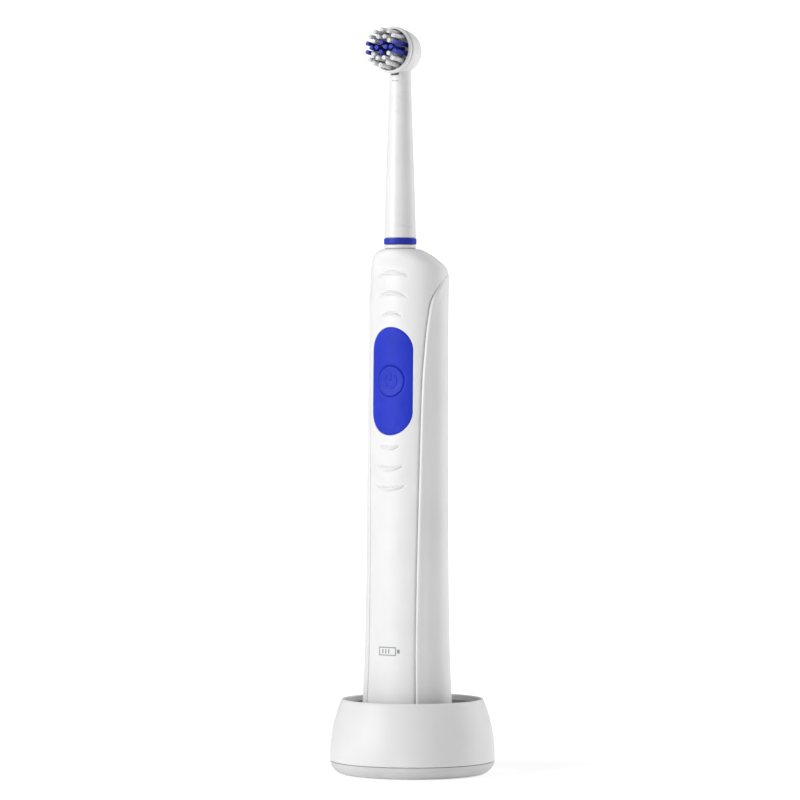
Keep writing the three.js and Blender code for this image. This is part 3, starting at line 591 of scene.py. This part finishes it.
SLOT_MATERIALS = {
    "white_plastic": WHITE, "base_plastic": GREY, "blue_pad": BLUE_PAD, "blue_ring": BLUE_RING,
    "white_bristle": WHITE_NYLON, "blue_bristle": BLUE_NYLON, "black_rubber": RUBBER,
    "inner_plastic": INNER, "steel": STEEL, "brass": BRASS, "copper": COPPER,
    "ferrite": FERRITE, "circuit_board": BOARD, "battery_can": CELL, "lamp": LAMP,
}


def dress_cad_nodes():
    """Gives every CAD node the material of its slot."""
    slots = {part["node"]: part["material_slot"] for part in frame["record"]["subparts"]}
    for name, node in frame["nodes"].items():
        material = SLOT_MATERIALS[slots[name]]
        if node.data.materials:
            node.data.materials[0] = material
        else:
            node.data.materials.append(material)


# ---------- handle shells

MEAN_RADIUS = 12.0                # of the handle, to turn a distance round it into an angle
# Distances of the outermost columns of points from a shell's edge
EDGE_COLUMNS = (0, 0.07, 0.16, 0.3, 0.45, 0.55, 0.8, 1.2)
SEAM_TURN = 156                   # from this height on the seam runs back steeply
FRONT_ROLL = 0.8                  # radius of the front shell's rolled edge
REAR_CHAMFER = 0.55               # width of the rear shell's bevelled edge
REAR_PROUD = 0.25                 # how far the rear shell stands out beside that edge
PROUD_REACH = 2.8                 # how far from its edge it is back on the handle's outline
BOTTOM_ROLL = 0.5
RIB_ANGLE = 1.0                   # the ribs lie within this angle of the front
THIN_TOP = {"z": 167, "wall": 1.0}


def seam_tree(gap=0.0):
    """The parting line on the handle's surface, both sides, ready for nearest-point searches."""
    points = []
    z = HANDLE_BOTTOM
    while z < PARTING[-1][0] and not seam_closed(z):
        for side in (-1, 1):
            x, y, _ = round_handle(side * parting_angle(z), z)
            points.append((x, y + gap, z))
        z += 0.06 if z < SEAM_TURN else 0.02
    tree = KDTree(len(points))
    for i, point in enumerate(points):
        tree.insert(point, i)
    tree.balance()
    return tree


def edge_round(distance, radius):
    """How far a rounded edge of this radius falls away at a distance from the edge."""
    if distance >= radius:
        return 0.0
    return radius - math.sqrt(radius**2 - (radius - distance) ** 2)


def rib_height(x, z):
    """How far the grip ribs stand out of the front at x and z, each with a groove along its edges."""
    height = 0.0
    for crest, half_width, rise, thickness in RIBS:
        if abs(z - crest) > 4 or abs(x) > half_width:
            continue
        side = 1 if rise > 0 else -1
        bow = 1 - (x / half_width) ** 2
        outer = crest - rise * (1 - bow)
        inner = outer - side * thickness * bow
        fade = smooth(0, 0.3, bow)
        within = min((outer - z) * side, (z - inner) * side)
        height += RIB_RELIEF * fade * smooth(0.0, 0.3, within)
        for edge, groove in ((outer, OUTER_GROOVE), (inner, INNER_GROOVE)):
            height -= groove["depth"] * fade * smooth(groove["half_width"], 0.0, abs(z - edge))
    return height


def front_rows():
    """Heights of the front shell's rows of points, closest together at the ribs."""
    spans = [
        (HANDLE_BOTTOM, 87, 64), (87, 106, 130), (106, 144.5, 56), (144.5, 158.8, 96),
        (158.8, 161.6, 46), (161.6, 163, 10), (163, 166.4, 14),
    ]
    rows = [z for start, end, count in spans for z in steps(start, end, count)[:-1]]
    return rows + steps(166.4, HANDLE_TOP, 14)


def seam_depth(z):
    """How pronounced the seam is at a height: full below the shoulder, faint over it."""
    return 1 - 0.8 * smooth(153, 157.5, z)


def chamfer(distance, width):
    """How far a slanting edge of this width falls away at a distance from the edge."""
    return max(0.0, width - distance)


def front_shell():
    """The front shell, with its grip ribs and rolled edge along the seam."""
    columns = 84
    rows = front_rows()
    points = []
    joined = set()
    for r, z in enumerate(rows):
        limit = parting_angle(z)
        if seam_closed(z):
            joined.add(r)
        near = [limit - d / MEAN_RADIUS for d in EDGE_COLUMNS[:-1]]
        inner = limit - EDGE_COLUMNS[-1] / MEAN_RADIUS
        angles = [-a for a in near] + steps(-inner, inner, columns) + near[::-1]
        points += [(angle, z) for angle in angles]
    width = len(points) // len(rows)
    seam = seam_tree()
    outside, inside = [], []
    for angle, z in points:
        place = round_handle(angle, z)
        distance = seam.find(place)[2]
        inset = edge_round(distance, FRONT_ROLL * seam_depth(z))
        inset += edge_round(z - HANDLE_BOTTOM, BOTTOM_ROLL)
        if abs(angle) < RIB_ANGLE:
            inset -= rib_height(place[0], z)
        outside.append(round_handle(angle, z, inset))
        inside.append(round_handle(angle, z, SHELL_WALL if z < THIN_TOP["z"] else THIN_TOP["wall"]))
    shell = walled("front_shell_detail", outside, inside, width, joined)
    recess = [(0.6, -1.2), (0.25, -0.03), (0.14, 0.05), (0.06, 0.16), (0.04, 1.0)]
    combine(shell, stadium_solid("pad_recess", recess), "DIFFERENCE")
    hole = [(0.5, 0.4), (0.5, 3.2)]
    return combine(shell, disc_solid("button_hole", hole), "DIFFERENCE")


def rear_rows():
    """Heights of the rear shell's rows; the last is just under the place where the seam closes."""
    closing = next(z for z in steps(157, 162, 500) if parting_angle(z) >= math.pi - 0.02)
    spans = [(HANDLE_BOTTOM, 150, 120), (150, 157, 24)]
    rows = [z for start, end, count in spans for z in steps(start, end, count)[:-1]]
    return rows + steps(157, closing - 0.12, 56)


def rear_shell():
    """The rear shell, whose edge stands a little proud of the front one."""
    columns = 110
    rows = rear_rows()
    points = []
    for z in rows:
        span = math.pi - parting_angle(z, PARTING_GAP)
        inner = max(0.0, span - EDGE_COLUMNS[-1] / MEAN_RADIUS)
        near = [max(0.0, span - d / MEAN_RADIUS) for d in EDGE_COLUMNS[:-1]]
        angles = [math.pi - a for a in near] + [math.pi - a for a in steps(inner, -inner, columns)]
        points += [(angle, z) for angle in angles + [math.pi + a for a in near[::-1]]]
    width = len(points) // len(rows)
    seam = seam_tree(PARTING_GAP)
    outside, inside = [], []
    for angle, z in points:
        distance = seam.find(round_handle(angle, z))[2]
        proud = REAR_PROUD * smooth(PROUD_REACH, REAR_CHAMFER, distance)
        inset = (chamfer(distance, REAR_CHAMFER) - proud) * seam_depth(z)
        inset += edge_round(z - HANDLE_BOTTOM, BOTTOM_ROLL)
        outside.append(round_handle(angle, z, inset))
        inside.append(round_handle(angle, z, SHELL_WALL))
    return walled("rear_shell_detail", outside, inside, width)


def seam_liner():
    """The tongue behind the seam, which closes the gap between the shells."""
    top, half, front, back = 160.6, 0.9 / MEAN_RADIUS, 0.75, 1.3
    heights = []
    z = HANDLE_BOTTOM + 0.2
    while z < top:
        heights.append(z)
        z += 1.0 if z < 155 else 0.15
    corners = ((-half, front), (half, front), (half, back), (-half, back))
    vertices, faces = [], []
    for side in (-1, 1):
        faces += tube_faces(len(heights), len(corners), len(vertices))
        for z in heights:
            middle = parting_angle(z, PARTING_GAP / 2)
            vertices += [round_handle(side * (middle + off), z, inset) for off, inset in corners]
    return build("seam_liner", vertices, faces)


def stadium_ring(margin, inset):
    """The pad's outline grown by margin, on the handle's front moved in by inset."""
    reach = PAD["half_width"] + margin
    arc_steps, side_steps = 48, 14

    def half_round(middle, start):
        angles = steps(start, start + math.pi, arc_steps)
        return [(reach * math.cos(angle), middle + reach * math.sin(angle)) for angle in angles]

    def straight(start, end):
        return [(start[0], z) for z in steps(start[1], end[1], side_steps)[1:-1]]

    upper = half_round(PAD["top"] - PAD["half_width"], 0)
    lower = half_round(PAD["bottom"] + PAD["half_width"], math.pi)
    ring = upper + straight(upper[-1], lower[0]) + lower + straight(lower[-1], upper[0])
    return [(x, front_y(x, z, inset), z) for x, z in ring]


def stadium_solid(name, profile):
    """A solid whose outline follows the pad: (margin, inset) from the front to the back."""
    fill = [-1.5, -3.2, -5.0, -6.5, 0.05 - PAD["half_width"]]
    rings = [stadium_ring(margin, profile[0][1]) for margin in reversed(fill)]
    rings += [stadium_ring(margin, inset) for margin, inset in profile]
    rings += [stadium_ring(margin, profile[-1][1]) for margin in fill]
    return skin(name, rings)


def on_button(radius, angle, inset):
    """A point of the handle's front at a distance and bearing from the button's middle."""
    x, z = radius * math.cos(angle), BUTTON["z"] + radius * math.sin(angle)
    return (x, front_y(x, z, inset), z)


def disc_ring(radius, inset, count=72):
    """A round outline about the button's middle, on the handle's front moved in by inset."""
    return [on_button(radius, angle, inset) for angle in turns(count)]


def disc_solid(name, profile):
    """A round solid at the button: (margin, inset) from the front to the back."""
    radius = BUTTON["radius"]
    inner = [0.02, 1.2, 2.4, 3.6]
    rings = [disc_ring(r, profile[0][1]) for r in inner]
    rings += [disc_ring(radius + margin, inset) for margin, inset in profile]
    rings += [disc_ring(r, profile[-1][1]) for r in reversed(inner)]
    return skin(name, rings)


def control_pad():
    """The soft pad, with a rolled edge and a rolled hole for the button."""
    edge = [(-0.62, 0.0), (-0.4, 0.015), (-0.2, 0.06), (-0.06, 0.13), (0, 0.24), (0, 0.7)]
    pad = stadium_solid("control_pad_detail", edge)
    hole = [(1.0, -0.6), (0.8, 0.0), (0.5, 0.07), (0.28, 0.15), (0.1, 0.26), (0.05, 0.4), (0.05, 1.5)]
    return combine(pad, disc_solid("pad_hole", hole), "DIFFERENCE")


def symbol_height(x, z):
    """Relief of the power symbol: an open ring with a stroke through its gap."""
    radius, half_line, half_gap = 2.1, 0.34, math.radians(34)
    stroke_middle, half_stroke = 1.5, 1.35
    relief, edge = 0.16, 0.13
    outside = max(abs(x) - half_line, abs(z - stroke_middle) - half_stroke)
    if abs(math.atan2(x, z)) >= half_gap:
        outside = min(outside, abs(math.hypot(x, z) - radius) - half_line)
    return relief * smooth(edge, -edge, outside)


def power_button():
    """The dished button with its raised power symbol."""
    radius, centre, count = BUTTON["radius"] - 0.02, 0.02, 144
    proud, dish_depth, roll, back = 0.05, 0.3, 0.45, 0.75
    rings = []
    for share in steps(0, 1, 46):
        r = max(centre, radius * share)
        dish = dish_depth * (1 - smooth(0.35, 1.0, share))
        inset = dish - proud + edge_round(radius - r, roll)
        rings.append([
            on_button(r, angle, inset - symbol_height(r * math.cos(angle), r * math.sin(angle)))
            for angle in turns(count)
        ])
    rings += [disc_ring(r, back, count) for r in (radius, 2.4, centre)]
    return skin("power_button_detail", rings)


def battery_mark():
    """The charge lamp's battery outline with three bars, inlaid in the front."""
    left, right, low, high, line = -3.5, 2.95, 38.35, 41.1, 0.3
    strips = [
        (left, right, high - line, high), (left, right, low, low + line),
        (left, left + line, low + line, high - line), (right - line, right, low + line, high - line),
        (right + 0.35, right + 1.25, low + 0.8, high - 0.75),
    ]
    strips += [(x - 0.2, x + 0.2, low + 0.65, high - 0.65) for x in (-1.9, -0.75, 0.4)]
    sunk, proud = 0.12, -0.03
    vertices, faces = [], []
    for x0, x1, z0, z1 in strips:
        columns = steps(x0, x1, max(2, int((x1 - x0) / 0.3)))
        corners = ((z0, sunk), (z0, proud), (z1, proud), (z1, sunk))
        faces += tube_faces(len(columns), len(corners), len(vertices))
        vertices += [(x, front_y(x, z, inset), z) for x in columns for z, inset in corners]
    return build("battery_mark", vertices, faces)


# ---------- turned trim

def top_collar():
    """The collar on the handle's top, round the drive shaft."""
    return lathe("top_collar_detail", [
        (2.95, 164.6), (4.25, 164.6, 0.2), (4.25, 168.15), (5.05, 168.15, 0.1), (5.2, 168.35, 0.1),
        (5.2, 169.2, 0.2), (2.95, 169.2, 0.2),
    ], AXIS_Y, closed=True)


def color_ring():
    """The coloured ring at the foot of the brush head."""
    return lathe("color_ring_detail", [
        (4.78, 169.47), (5.2, 169.47, 0.1), (5.24, 170.4, 0.8), (5.2, 171.3, 0.1),
        (4.78, 171.3),
    ], AXIS_Y, closed=True)


def drive_shaft():
    """The steel shaft, with a flat that carries the brush head round."""
    shaft = lathe("drive_shaft_detail", [
        (CORE, 113.2), (1.5, 113.2, 0.2), (1.5, 163, 0.5), (1.7, 166, 0.5), (1.7, 188, 0.45),
        (CORE, 188),
    ], AXIS_Y, 48)
    return combine(shaft, box("flat", (-3, -12, 174), (3, AXIS_Y - 0.9, 190)), "DIFFERENCE")


def cap_ring(z, inset):
    """The handle's outline at a height, moved inwards by inset."""
    return [round_handle(angle, z, inset) for angle in turns(96)]


def bottom_cap():
    """The cap under the handle, with the well that fits over the charging post."""
    flange = skin("bottom_cap_detail", [
        cap_ring(7.9, 1.5), cap_ring(7.95, 1.2), cap_ring(8.1, 0.85), cap_ring(8.4, 0.5),
        cap_ring(8.8, 0.25), cap_ring(9.4, 0.12), cap_ring(9.4, 2.0), cap_ring(13.4, 2.0),
    ])
    well = lathe("well", [(CORE, 8.6), (5.8, 8.6), (5.8, 22, 0.4), (CORE, 22)], POST_Y, 64)
    combine(flange, well, "UNION")
    hollow = lathe("hollow", [
        (CORE, 6), (6.4, 6), (6.4, 7.9), (5.0, 8.6), (4.8, 21, 0.6), (CORE, 21),
    ], POST_Y, 64)
    return combine(flange, hollow, "DIFFERENCE")


# ---------- charger

CHARGER_RADIUS = 26.45            # at its foot
CHARGER_RIM = 22.75               # radius at its top
CHARGER_TOP = 23.8
CHARGER_WALL = 1.9
RIM_ROLL = 0.8                    # how far down the rim's roll reaches, and how much the wall thins there
BOWL_FLOOR = 7.6
BODY_FOOT = 4.05
SEAM_Z = 3.9
INLET = ((-2.9, 20, -1), (2.9, 30, 8.6))
INLET_HOUSING = ((-3.9, 19, 6), (3.9, 25, 9.5))


def charger_radius(z):
    """Outer radius of the charger's body at a height."""
    rise = max(0.0, (z - 6) / (CHARGER_TOP - 6))
    return CHARGER_RADIUS - (CHARGER_RADIUS - CHARGER_RIM) * rise**2


def charger_body():
    """The bowl with its rolled rim, dished floor, charging post and cord inlet."""
    outer = [(charger_radius(z), z) for z in steps(4.7, CHARGER_TOP - RIM_ROLL, 24)]
    inner = [(charger_radius(z) - CHARGER_WALL + RIM_ROLL * smooth(10, 21, z), z)
             for z in steps(CHARGER_TOP - RIM_ROLL, 10, 12)]
    edge = charger_radius(CHARGER_TOP - 0.2)
    roll = [(0.06, 0.25), (0.25, 0.04), (0.5, 0), (0.78, 0.05), (0.98, 0.3)]
    rim = [(edge - inwards, CHARGER_TOP - down) for inwards, down in roll]
    bowl = lathe("charger_body_detail", [
        (CORE, 5.9), (24.3, 5.9), (24.3, BODY_FOOT), (CHARGER_RADIUS - 0.22, BODY_FOOT),
        (CHARGER_RADIUS - 0.03, BODY_FOOT + 0.2), *outer, *rim, *inner,
        (22.6, BOWL_FLOOR, 1.5), (CORE, BOWL_FLOOR),
    ], 0, 160)
    post = lathe("post", [
        (CORE, 6), (5.2, 6), (5.2, 7.7), (4.25, 8.4, 0.8), (4.2, 19.5, 1.0), (CORE, 19.5),
    ], POST_Y, 64)
    combine(bowl, post, "UNION")
    combine(bowl, bevel(box("inlet_housing", *INLET_HOUSING), 0.5), "UNION")
    bore = lathe("bore", [(CORE, 5), (3.3, 5), (3.3, 18.5), (CORE, 18.5)], POST_Y, 48)
    combine(bowl, bore, "DIFFERENCE")
    return combine(bowl, box("inlet", *INLET), "DIFFERENCE")


def in_bowl(centre, normal):
    """Whether a face of the charger's body lines the bowl or belongs to the charging post."""
    x, y, z = centre
    low, high, post_reach = 7, 22.4, 8
    inwards = normal.x * x + normal.y * y < 0
    upwards = normal.z > 0.7
    return low < z < high and (inwards or upwards or math.hypot(x, y) < post_reach)


def charger_base_plate():
    """The base plate, with a ring groove and three screw wells underneath."""
    plate = lathe("charger_base_detail", [
        (CORE, 0), (19.2, 0), (19.4, 0.35, 0.1), (20.6, 0.35, 0.1), (20.8, 0), (23.0, 0, 1.4),
        (24.2, 0.45, 2), (25.3, 1.4, 2), (26.1, 2.5, 2), (CHARGER_RADIUS, SEAM_Z - 0.15),
        (CHARGER_RADIUS - 0.18, SEAM_Z), (24.6, SEAM_Z), (24.0, 3.6), (23.6, 1.5), (CORE, 1.5),
    ], 0, 160)
    well_distance, first_well = 14, 0.5
    for turn in turns(3):
        angle = turn + first_well
        well = lathe("well", [(CORE, -1), (1.9, -1), (1.9, 0.9), (CORE, 0.9)], 0, 32)
        place = Vector((math.sin(angle), math.cos(angle), 0)) * well_distance * MM
        well.data.transform(Matrix.Translation(place))
        combine(plate, well, "DIFFERENCE")
    (x0, y0, _), (x1, y1, z1) = INLET
    return combine(plate, box("inlet", (x0, y0, 1.6), (x1, y1, z1)), "DIFFERENCE")


def cord_grommet():
    """The inlet's grommet: a block with rounded edges and a round hole for the cord."""
    block = bevel(box("cord_grommet_detail", (-2.55, 20.8, 2.0), (2.55, 26.2, 8.2)), 0.5)
    hole = lathe("hole", [(CORE, -6), (1.6, -6), (1.6, 2.8), (2.2, 3.6), (2.2, 8), (CORE, 8)], 0, 40)
    turn = Matrix.Translation(Vector((0, 23, 5.1)) * MM) @ Matrix.Rotation(math.radians(-90), 4, "X")
    hole.data.transform(turn)
    return combine(block, hole, "DIFFERENCE")


# ---------- brush head

def tilt(piece):
    """Moves a head piece from its own frame, origin on the disc's face, to its place."""
    place = Matrix.Translation(Vector((0, HEAD["y"], HEAD["z"])) * MM)
    piece.data.transform(place @ Matrix.Rotation(-HEAD["tilt"], 4, "X"))
    return piece


def head_lathe(name, profile, segments=96):
    """A piece turned about the head's axis: (r, depth behind the face)."""
    piece = lathe(name, profile, 0, segments)
    piece.data.transform(Matrix.Rotation(math.radians(-90), 4, "X"))
    return piece


CUP = {"front": 2.2, "back": 11.0, "radius": 7.2, "power": 3.1}
STEM_TOP_RADIUS = 3.4
# The notch in the stem under the disc; top is its height against the disc's middle
NOTCH = {"radius": 7.88, "depth": 3.0, "top": -6.6}


def cup_profile():
    """The domed cup, from its flat front to its back."""
    points = [(CORE, CUP["front"]), (CUP["radius"] - 0.35, CUP["front"]),
              (CUP["radius"] - 0.1, CUP["front"] + 0.1)]
    for angle in steps(0.05, math.pi / 2, 26):
        share = math.sin(angle)
        radius = CUP["radius"] * (1 - share ** CUP["power"]) ** (1 / CUP["power"])
        points.append((max(radius, CORE), CUP["front"] + share * (CUP["back"] - CUP["front"])))
    return points


def brush_neck():
    """The neck and the cup behind the disc, in one piece."""
    stem = lathe("brush_neck_detail", [
        (CORE, 169.5), (4.45, 169.5), (4.45, 171.5), (5.07, 171.5, 0.15), (4.95, 175), (4.78, 181),
        (4.5, 191), (4.25, 198), (4.0, 205), (3.8, 211), (3.62, 216), (3.45, 222),
        (STEM_TOP_RADIUS, 230), (CORE, 230),
    ], AXIS_Y)
    combine(stem, tilt(head_lathe("cup", cup_profile())), "UNION")
    recess = [(CORE, -3), (6.2, -3), (6.2, 5.5, 0.5), (CORE, 5.5)]
    combine(stem, tilt(head_lathe("recess", recess, 72)), "DIFFERENCE")
    radius, depth = NOTCH["radius"], NOTCH["depth"]
    notch = head_lathe("notch", [(CORE, -1), (radius, -1), (radius, depth), (CORE, depth)])
    combine(notch, box("below", (-4, -2, -9), (4, 6, NOTCH["top"])), "INTERSECT")
    combine(stem, tilt(notch), "DIFFERENCE")
    bore = lathe("bore", [
        (CORE, 160), (3.7, 160), (3.7, 191), (2.3, 193), (2.3, 228.2), (CORE, 228.2),
    ], AXIS_Y, 48)
    return combine(stem, bore, "DIFFERENCE")


def in_notch(centre, _):
    """Whether a face of the neck lies in the notch, behind the stem's own surface."""
    x, y, z = centre
    low, high, skin_depth, deepest = -8.2, -6.4, 0.12, -9
    stem_front = AXIS_Y - math.sqrt(max(0.0, STEM_TOP_RADIUS**2 - x**2))
    at_height = low < z - HEAD["z"] < high
    return at_height and stem_front + skin_depth < y < deepest and abs(x) < STEM_TOP_RADIUS


def neck_mark():
    """The small grey mark on the neck's front: a thin bar that bends up at its ends."""
    height, half_thickness, sunk, proud = 221.5, 0.1, 3.3, 3.475
    rows = []
    for degrees in steps(-14, 24, 20):
        angle = math.radians(degrees)
        middle = height + 0.25 * ((degrees - 5) / 20) ** 2
        low, high = middle - half_thickness, middle + half_thickness
        rows.append([
            (r * math.sin(angle), AXIS_Y - r * math.cos(angle), z)
            for r, z in ((sunk, low), (proud, low), (proud, high), (sunk, high))
        ])
    return skin("neck_mark", rows)


# Tuft middles on the disc, x and z, in one quarter; mirrored() makes the other three
WHITE_TUFTS = [(4.4, 3.63), (2.9, 2.05), (1.2, 3.37), (0, 5.7), (2.65, 5.05)]
BLUE_TUFTS = [(5.15, 1.4), (3.7, 0), (1.65, 0), (0, 1.5)]
TUFT_TIP = -5.9                   # depth of the tips; they stand in front of the disc's face
TIP_SCATTER = 0.12                # how much shorter a filament can be than its neighbours
TIP_CROWN = 0.16                  # how fast the tips fall away from a tuft's middle
LEAN = 0.05
FILAMENT = {"pitch": 0.195, "radius": 0.108, "sides": 6}


def mirrored(quarter):
    """The places of one quarter and their mirror images, each once."""
    places = {(x * sx, z * sz) for x, z in quarter for sx in (1, -1) for sz in (1, -1)}
    return sorted({(x + 0.0, z + 0.0) for x, z in places})


def bristle_disc():
    """The turning disc: a raised rim round a dished face with a socket for each tuft."""
    disc = head_lathe("bristle_disc_detail", [
        (CORE, DISH_DEPTH), (6.45, DISH_DEPTH, 0.25), (6.62, 0.25), (6.75, 0, 0.2), (7.2, 0, 0.25),
        (DISC_RADIUS - 0.02, 0.3, 0.25), (DISC_RADIUS, 1.6, 0.3), (7.1, 2.0), (4.5, 2.0, 0.2),
        (4.5, 4.5, 0.3), (CORE, 4.5),
    ], 128)
    for x, z in mirrored(WHITE_TUFTS + BLUE_TUFTS):
        socket = head_lathe("socket", [(CORE, 0.9), (0.78, 0.9), (0.78, 1.85), (CORE, 1.85)], 20)
        socket.data.transform(Matrix.Translation(Vector((x, 0, z)) * MM))
        combine(disc, socket, "DIFFERENCE")
    slot = box("slot", (-1.1, 2.25, -9), (1.1, 6.5, -1.6))
    return tilt(combine(disc, slot, "DIFFERENCE"))


def packed_circle():
    """Centres of filaments packed in rings inside one tuft."""
    centres = [(0.0, 0.0)]
    for ring in (1, 2, 3):
        reach, twist = ring * FILAMENT["pitch"], 0.2 * ring
        for turn in turns(6 * ring):
            centres.append((reach * math.cos(turn + twist), reach * math.sin(turn + twist)))
    return centres


def tufts(name, quarter):
    """Bundles of round-ended filaments, each with a tip of its own length and a slight lean."""
    vertices, faces = [], []
    for cx, cz in mirrored(quarter):
        for fx, fz in packed_circle():
            tip = TUFT_TIP + random.uniform(0, TIP_SCATTER) + TIP_CROWN * (fx * fx + fz * fz)
            lean_x, lean_z = random.uniform(-LEAN, LEAN), random.uniform(-LEAN, LEAN)
            rings = [
                (DISH_DEPTH + 0.2, 1.0), (tip * 0.4, 1.0), (tip + 0.08, 1.0), (tip + 0.02, 0.95),
                (tip, 0.75),
            ]
            faces += tube_faces(len(rings), FILAMENT["sides"], len(vertices))
            for depth, share in rings:
                bend = ((DISH_DEPTH - depth) / (DISH_DEPTH - tip)) ** 2
                radius = FILAMENT["radius"] * share
                for angle in turns(FILAMENT["sides"]):
                    x = cx + fx + lean_x * bend + radius * math.cos(angle)
                    z = cz + fz + lean_z * bend + radius * math.sin(angle)
                    vertices.append((x, depth, z))
    return tilt(build(name, vertices, faces))


# ---------- studio

ROOM_LIGHT = 0.36                 # strength of the surroundings as light on the object
BACKDROP_LIGHT = 1.2              # strength of the surroundings as the camera sees them


def floor():
    """A wide pale floor that glows a little, more so far from the object."""
    half = 2500
    corners = [(-half, -half, 0), (half, -half, 0), (half, half, 0), (-half, half, 0)]
    plane = build("studio_floor", corners, [(0, 1, 2, 3)])
    plane.location.z = -0.02 * MM
    m = Material("studio_paper", 0.9)
    tone = m.mix(m.noise(3.0), rgb(244, 244, 244), rgb(241, 241, 241))
    away = m.add("ShaderNodeVectorMath", {0: m.place}, operation="LENGTH").outputs["Value"]
    seen = m.add("ShaderNodeLightPath").outputs["Is Camera Ray"]
    glow = m.spread(away, 0.03, 0.6, 0.45, 0.9)
    m.put(m.shader.inputs["Emission Strength"], m.math("MULTIPLY", glow, m.spread(seen, 0, 1, 0.3, 1)))
    plane.data.materials.append(m.finish(tone, Emission_Color=(1, 1, 1, 1)))


def area_light(name, bearing, height, distance, size, power, glossy=True):
    """A soft light at a bearing from the front, in degrees towards +X, aimed at the object's middle.

    Its height, distance and size are in metres and its power is in watts.
    """
    data = bpy.data.lights.new(name, "AREA")
    data.shape = "RECTANGLE"
    data.size, data.size_y = size
    data.energy = power
    light = bpy.data.objects.new(name, data)
    light.visible_glossy = glossy
    angle = math.radians(bearing)
    target = Vector((0, -3 * MM, 0.12))
    light.location = Vector((math.sin(angle) * distance, -math.cos(angle) * distance, height))
    light.rotation_euler = (target - light.location).to_track_quat("-Z", "Y").to_euler()
    bpy.context.collection.objects.link(light)


def studio():
    """White surroundings for the camera, a dimmer room for everything else, and two lights."""
    scene = bpy.context.scene
    scene.view_settings.view_transform = "Standard"
    world = bpy.data.worlds.new("studio")
    scene.world = world
    world.use_nodes = True
    tree = world.node_tree
    tree.nodes.clear()
    output = tree.nodes.new("ShaderNodeOutputWorld")
    seen = tree.nodes.new("ShaderNodeLightPath")
    choice = tree.nodes.new("ShaderNodeMixShader")
    tree.links.new(seen.outputs["Is Camera Ray"], choice.inputs[0])
    for i, strength in ((1, ROOM_LIGHT), (2, BACKDROP_LIGHT)):
        white = tree.nodes.new("ShaderNodeBackground")
        white.inputs["Color"].default_value = (1, 1, 1, 1)
        white.inputs["Strength"].default_value = strength
        tree.links.new(white.outputs[0], choice.inputs[i])
    tree.links.new(choice.outputs[0], output.inputs["Surface"])
    size = (0.9, 1.3)
    area_light("key", bearing=-28, height=0.55, distance=1.5, size=size, power=15.5)
    area_light("rim", bearing=147, height=0.4, distance=1.4, size=size, power=14, glossy=False)


# ---------- the whole

make_camera()
dress_cad_nodes()

bowl = present(charger_body(), "charger", ["charger_body"], WHITE)
# The bowl's inside and the charging post take the painted shade grey.
paint(bowl, BOWL_SHADE, in_bowl)
present(charger_base_plate(), "charger", ["charger_base_plate"], GREY)
present(cord_grommet(), "charger", ["cord_grommet"], GREY)

present(front_shell(), "handle", ["front_shell"], WHITE)
present(rear_shell(), "handle", ["rear_shell"], WHITE)
present(seam_liner(), "handle", [], WHITE)
present(control_pad(), "handle", ["control_pad"], BLUE_PAD)
present(top_collar(), "handle", ["top_collar"], WHITE)
present(bottom_cap(), "handle", ["bottom_cap"], WHITE)
present(battery_mark(), "handle", [], MARK)
present(power_button(), "power_button", ["power_button"], BLUE_BUTTON)
present(drive_shaft(), "drive_shaft", ["drive_shaft"], STEEL)

neck = present(brush_neck(), "brush_head", ["brush_neck"], BRUSH_WHITE)
# The notch's faces take the painted shade grey.
paint(neck, NOTCH_SHADE, in_notch)
present(color_ring(), "brush_head", ["color_ring"], BLUE_RING)
present(neck_mark(), "brush_head", [], MARK)
present(bristle_disc(), "bristle_disc", ["bristle_disc"], DISC_WHITE)
for color, places, nylon in (("white", WHITE_TUFTS, WHITE_NYLON), ("blue", BLUE_TUFTS, BLUE_NYLON)):
    bundle = tufts(f"{color}_tufts_detail", places)
    present(bundle, "bristle_disc", [f"{color}_tufts"], nylon)

floor()
studio()
